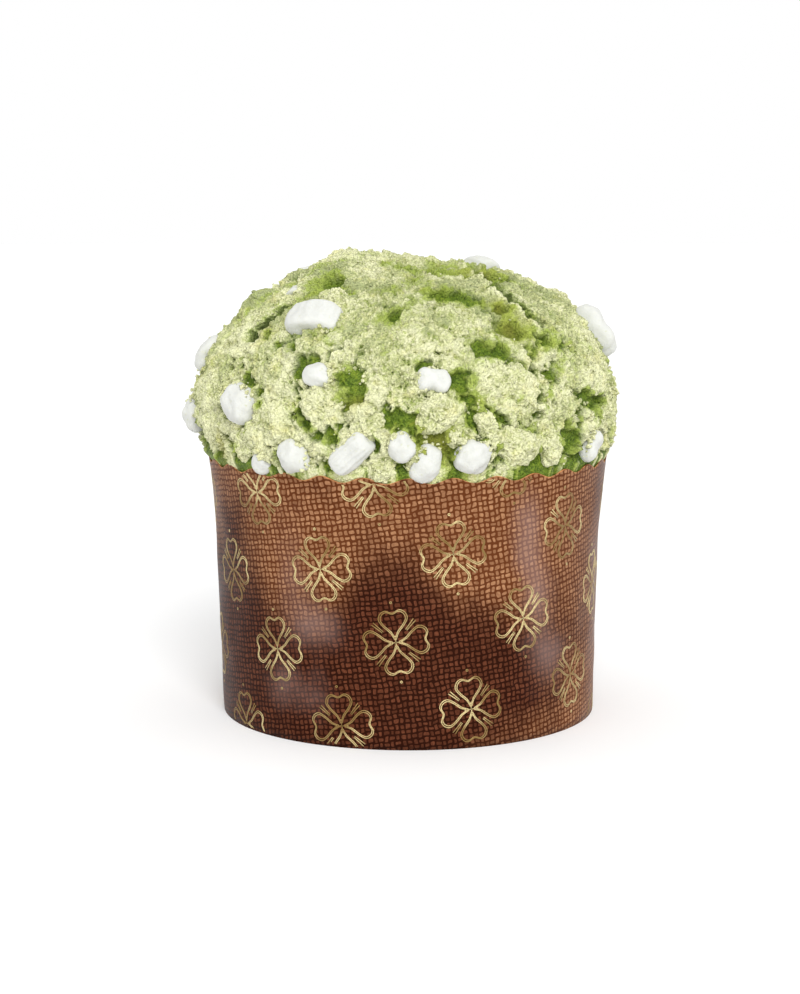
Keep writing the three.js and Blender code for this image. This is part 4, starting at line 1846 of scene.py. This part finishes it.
@dataclass
class BakingCase:
    """The paper case: its wall, its gold print and its base.

    Attributes:
        wall: The wall's form.
        ornament: What is printed on it.
        turn: Angle of the print on the sheet, in degrees.
        pitch: Distance between ornaments in a row.
        row: Distance between rows; every second row is shifted by half a pitch.
        anchor: Place of one ornament on the sheet: along it and up it.
        proud: Thickness of the ink above the paper.
        root: How deep a ribbon's underside lies in the paper.
        hidden: How deep the whole ribbon lies where the sheet ends.
        margin: How near to an edge the ink comes.
    """

    wall: WallForm
    ornament: Ornament = Ornament()
    turn: float = PRINT_TURN
    pitch: float = 55.0
    row: float = 32.6
    anchor: tuple[float, float] = (-5.0, 45.0)
    proud: float = 0.06
    root: float = 0.1
    hidden: float = 0.3
    margin: float = 0.7

    def wall_piece(self, finish: bpy.types.Material) -> bpy.types.Object:
        """The wall: a profile up the outside and down the inside, carried round the loaf.

        Args:
            finish: The paper's finish.

        Returns:
            The piece, with the sheet's own coordinates in tenths of a metre.
        """
        columns, rows = 720, 44
        longitude = np.linspace(-np.pi, np.pi, columns, endpoint=False)[None, :]
        share = 1.0 - (1.0 - np.linspace(0.0, 1.0, rows)) ** 1.4
        share = np.concatenate([share, share[::-1]])[:, None]
        outside = np.repeat([1.0, 0.0], rows)[:, None]
        rim = self.wall.rim(longitude)
        height = share * rim
        out = outside * self.wall.overlap(longitude) - (1.0 - outside) * self.wall.paper
        out = out + self.wall.soft(longitude, height, share)
        points = self.wall.point(longitude, height, out).reshape(-1, 3)
        surface = Surface(points, lattice(2 * rows, columns, wrap_rows=True, wrap_columns=True))
        below = np.where(outside > 0.5, rim - height, 0.0)
        soak = 0.12 + 0.3 * Grain(62).fractal(self.wall.point(longitude, height), 40.0)
        soak = soak + sum(blotch.at(longitude, height) for blotch in SOAKED)
        painted_sheen_mark = sum(blotch.at(longitude, height) for blotch in PAINTED_SHEEN_BLOTCHES)
        surface.marks = {"soak": soak.ravel(), "painted_sheen_mark": painted_sheen_mark.ravel(), "rim": below.ravel()}
        along = np.broadcast_to(longitude * self.wall.sheet_radius, height.shape)
        uv = np.stack([along, height], axis=-1).reshape(-1, 2) / 100.0
        made = surface.piece("sackcloth_case_wall", finish, uv)
        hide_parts("paper_case_wall")
        return made

    def _middles(self) -> Array:
        """Where the ornaments lie on the sheet: a staggered lattice, turned about its anchor.

        Those that would cross the glued edge are left out.

        Returns:
            Distances along and up the sheet.
        """
        steps = [(i, j) for i in range(-6, 7) for j in range(-4, 5)]
        grid = np.array([(self.pitch * (i + 0.5 * (j % 2)), self.row * j) for i, j in steps])
        middles = np.array(self.anchor) + grid @ spin(math.radians(self.turn))
        half_turn = math.pi * self.wall.sheet_radius
        reach = self.ornament.sprig
        fits = (middles[:, 0] > 0.5 * reach - half_turn) & (middles[:, 0] < half_turn - 1.6 * reach)
        return middles[fits & (middles[:, 1] > -reach) & (middles[:, 1] < self.wall.height + reach)]

    def print_piece(self, finish: bpy.types.Material) -> bpy.types.Object:
        """The gold print: every line is a flat ribbon bent round the wall, sunk where the sheet ends.

        A ribbon's section is a rectangle across the line: a place on the sheet is an angle and a
        height on the wall, and the ribbon's top stands proud of it.

        Args:
            finish: The ink's finish.

        Returns:
            The piece.
        """
        middles = self._middles()
        turned = spin(math.radians(self.turn))
        parts = []
        for path, closed in self.ornament.strokes():
            ahead = np.roll(path, -1, axis=0) if closed else np.vstack([path[1:], 2 * path[-1] - path[-2]])
            behind = np.roll(path, 1, axis=0) if closed else np.vstack([2 * path[0] - path[1], path[:-1]])
            along = unit(ahead - behind)
            across = np.stack([-along[:, 1], along[:, 0]], axis=-1) * 0.5 * self.ornament.line
            edges = np.stack([path - across, path + across, path + across, path - across], axis=1)
            sheet = middles[:, None, None, :] + (edges @ turned)[None]
            longitude = sheet[..., 0] / self.wall.sheet_radius
            rim = self.wall.rim(longitude)
            height = np.clip(sheet[..., 1], self.margin, rim - self.margin)
            inside = (sheet[..., 1] > self.margin) & (sheet[..., 1] < rim - self.margin)
            level = np.array([self.proud, self.proud, -self.root, -self.root])
            out = np.where(inside, level, -self.hidden) + self.wall.soft(longitude, height, height / rim)
            out = out + self.wall.overlap(longitude)
            points = self.wall.point(longitude, height, out).reshape(-1, 3)
            stations = len(path)
            quads = lattice(stations, 4, wrap_rows=closed, wrap_columns=True)
            if not closed:
                ends = np.array([[3, 2, 1, 0], np.array([0, 1, 2, 3]) + 4 * (stations - 1)])
                quads = np.concatenate([quads, ends])
            shifts = np.arange(len(middles))[:, None, None] * stations * 4
            parts.append(Surface(points, (quads[None] + shifts).reshape(-1, 4)))
        return joined(parts).piece("gold_sprig_print", finish)

    def dress_base(self, finish: bpy.types.Material) -> None:
        """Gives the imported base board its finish.

        Args:
            finish: The board's finish.
        """
        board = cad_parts["paper_case_base"]
        board.data.materials.clear()
        board.data.materials.append(finish)


# ---- the studio ----


@dataclass(frozen=True)
class Softbox:
    """One broad soft light: where it shines from, how wide it is in radians and its power."""

    name: str
    place: tuple[float, float, float]
    spread: float
    power: float


@dataclass
class Studio:
    """A white table under plain soft light, and the camera.

    Attributes:
        focus: What the lights and the camera are turned to.
        camera_place: Where the camera stands.
        lens: Its focal length in millimetres.
        fill: Brightness that the white surroundings light things with.
        softboxes: The lights.
    """

    focus: tuple[float, float, float] = (-0.0037, 0.0, 0.092)
    camera_place: tuple[float, float, float] = (0.0, -0.958, 0.234)
    lens: float = 80.46
    fill: float = 0.79
    softboxes: tuple[Softbox, ...] = (Softbox("key_softbox", (0.14, -1.0, 0.77), 0.5, 2.36),)

    def _turned(self, thing: bpy.types.Object, place: tuple[float, float, float]) -> None:
        """Puts a light or a camera in place, turned to the focus.

        Args:
            thing: The light or camera.
            place: Where it stands, in metres.
        """
        thing.location = place
        look = Vector(self.focus) - Vector(place)
        thing.rotation_euler = look.to_track_quat("-Z", "Y").to_euler()
        bpy.context.scene.collection.objects.link(thing)

    def camera(self) -> None:
        """Makes the scene's camera."""
        data = bpy.data.cameras.new("studio_camera")
        data.lens = self.lens
        data.clip_start, data.clip_end = 0.05, 20.0
        made = bpy.data.objects.new("studio_camera", data)
        self._turned(made, self.camera_place)
        bpy.context.scene.camera = made

    def lights(self) -> None:
        """Makes the softboxes and the white surroundings."""
        for softbox in self.softboxes:
            data = bpy.data.lights.new(softbox.name, "SUN")
            data.angle, data.energy = softbox.spread, softbox.power
            self._turned(bpy.data.objects.new(softbox.name, data), softbox.place)
        world = bpy.data.worlds.new("white_studio")
        world.use_nodes = True
        tree = world.node_tree
        backdrop = tree.nodes["Background"]
        backdrop.inputs["Color"].default_value = (1.0, 1.0, 1.0, 1.0)
        seen = tree.nodes.new("ShaderNodeMapRange")
        tree.links.new(tree.nodes.new("ShaderNodeLightPath").outputs["Is Camera Ray"], seen.inputs["Value"])
        seen.inputs["To Min"].default_value, seen.inputs["To Max"].default_value = self.fill, 1.0
        tree.links.new(seen.outputs[0], backdrop.inputs["Strength"])
        bpy.context.scene.world = world
        bpy.context.scene.view_settings.view_transform = "Standard"

    def floor(self) -> None:
        """Makes the table, a wide disc of rings just under the case."""
        columns, rows, level = 96, 24, -0.02
        angle = np.linspace(0.0, 2.0 * np.pi, columns, endpoint=False)[None, :]
        radius = np.geomspace(20.0, 6000.0, rows)[:, None]
        parts = radius * np.cos(angle), radius * np.sin(angle), level + 0.0 * radius * angle
        rings = np.stack(np.broadcast_arrays(*parts), axis=-1).reshape(-1, 3)
        here = np.arange(columns)
        middle = np.stack([np.full(columns, len(rings)), here, (here + 1) % columns], axis=-1)
        points = np.concatenate([rings, [[0.0, 0.0, level]]])
        quads = lattice(rows, columns, wrap_columns=True)[:, ::-1]
        made = Surface(points, quads, middle).piece("studio_table", FloorFinish().material())


# ---- the whole ----


@dataclass
class Panettone:
    """The panettone, from its case to its last crumb.

    Attributes:
        dome: Form of the dome.
        wall: Form of the case's wall.
        cuts: How some of the marshmallows lie, by number; the rest of those at the front are torn.
        placed: How many marshmallows lie at the front; the cuts of the others take turns.
    """

    dome: DomeForm = DomeForm()
    wall: WallForm = WallForm()
    cuts: dict[int, Cut] = field(
        default_factory=lambda: {1: Cut.ACROSS, 9: Cut.ALONG, 15: Cut.ALONG}
    )
    placed: int = 16

    def _named(self, stem: str) -> list[str]:
        """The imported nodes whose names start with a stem, in order."""
        return sorted(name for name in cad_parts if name.startswith(stem))

    def _settle(self, piece: bpy.types.Object, slot: str) -> None:
        """Lets a piece ride on the only body, and reports it with its slot.

        Args:
            piece: The piece.
            slot: The record's material slot.
        """
        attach(piece, BODY)
        log.info("%s: %d vertices in slot %s", piece.name, len(piece.data.vertices), slot)

    def bake(self) -> None:
        """Makes the loaf and its crust."""
        crust = CrustForm(self.dome)
        loaf = Loaf(crust, self.wall)
        crumble = CrumbleFinish().material()
        sponge = loaf.sponge_piece(SpongeFinish().material())
        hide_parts("bread_loaf")
        self._settle(sponge, "crust")
        for piece in loaf.crust_pieces(crumble):
            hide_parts("bread_loaf")
            self._settle(piece, "crust")
        self.top(crust, crumble)

    def top(self, crust: CrustForm, crumble: bpy.types.Material) -> None:
        """Makes the marshmallows, the lumps and the loose crumbs.

        Args:
            crust: The crust that they lie on.
            crumble: The crumble's finish.
        """
        powder = MarshmallowFinish().material()
        seats = []
        for number, name in enumerate(self._named("marshmallow_"), start=1):
            cut = self.cuts.get(number, Cut(number % 3) if number > self.placed else Cut.TORN)
            seat = Seat.of_node(name, self.dome)
            seats.append(seat)
            self._settle(Marshmallow(name, number, seat, cut).piece(powder), "marshmallow")
        for number, name in enumerate(self._named("crumble_lump_"), start=1):
            lump = CrumbleLump(name, number, Seat.of_node(name, self.dome))
            self._settle(lump.piece(crumble), "crumble")
        for piece in LooseCrumbs(crust).pieces(seats, crumble):
            self._settle(piece, "crumble")

    def wrap(self) -> None:
        """Makes the baking case."""
        case = BakingCase(self.wall)
        self._settle(case.wall_piece(SackclothPaper().material()), "case_paper")
        self._settle(case.print_piece(GoldInk().material()), "gold_print")
        case.dress_base(PlainBoard().material())


def main() -> None:
    """Builds the studio and the panettone."""
    logging.basicConfig(level=logging.INFO)
    studio = Studio()
    studio.camera()
    studio.lights()
    studio.floor()
    panettone = Panettone()
    panettone.wrap()
    panettone.bake()


if __name__ == "__main__":
    main()
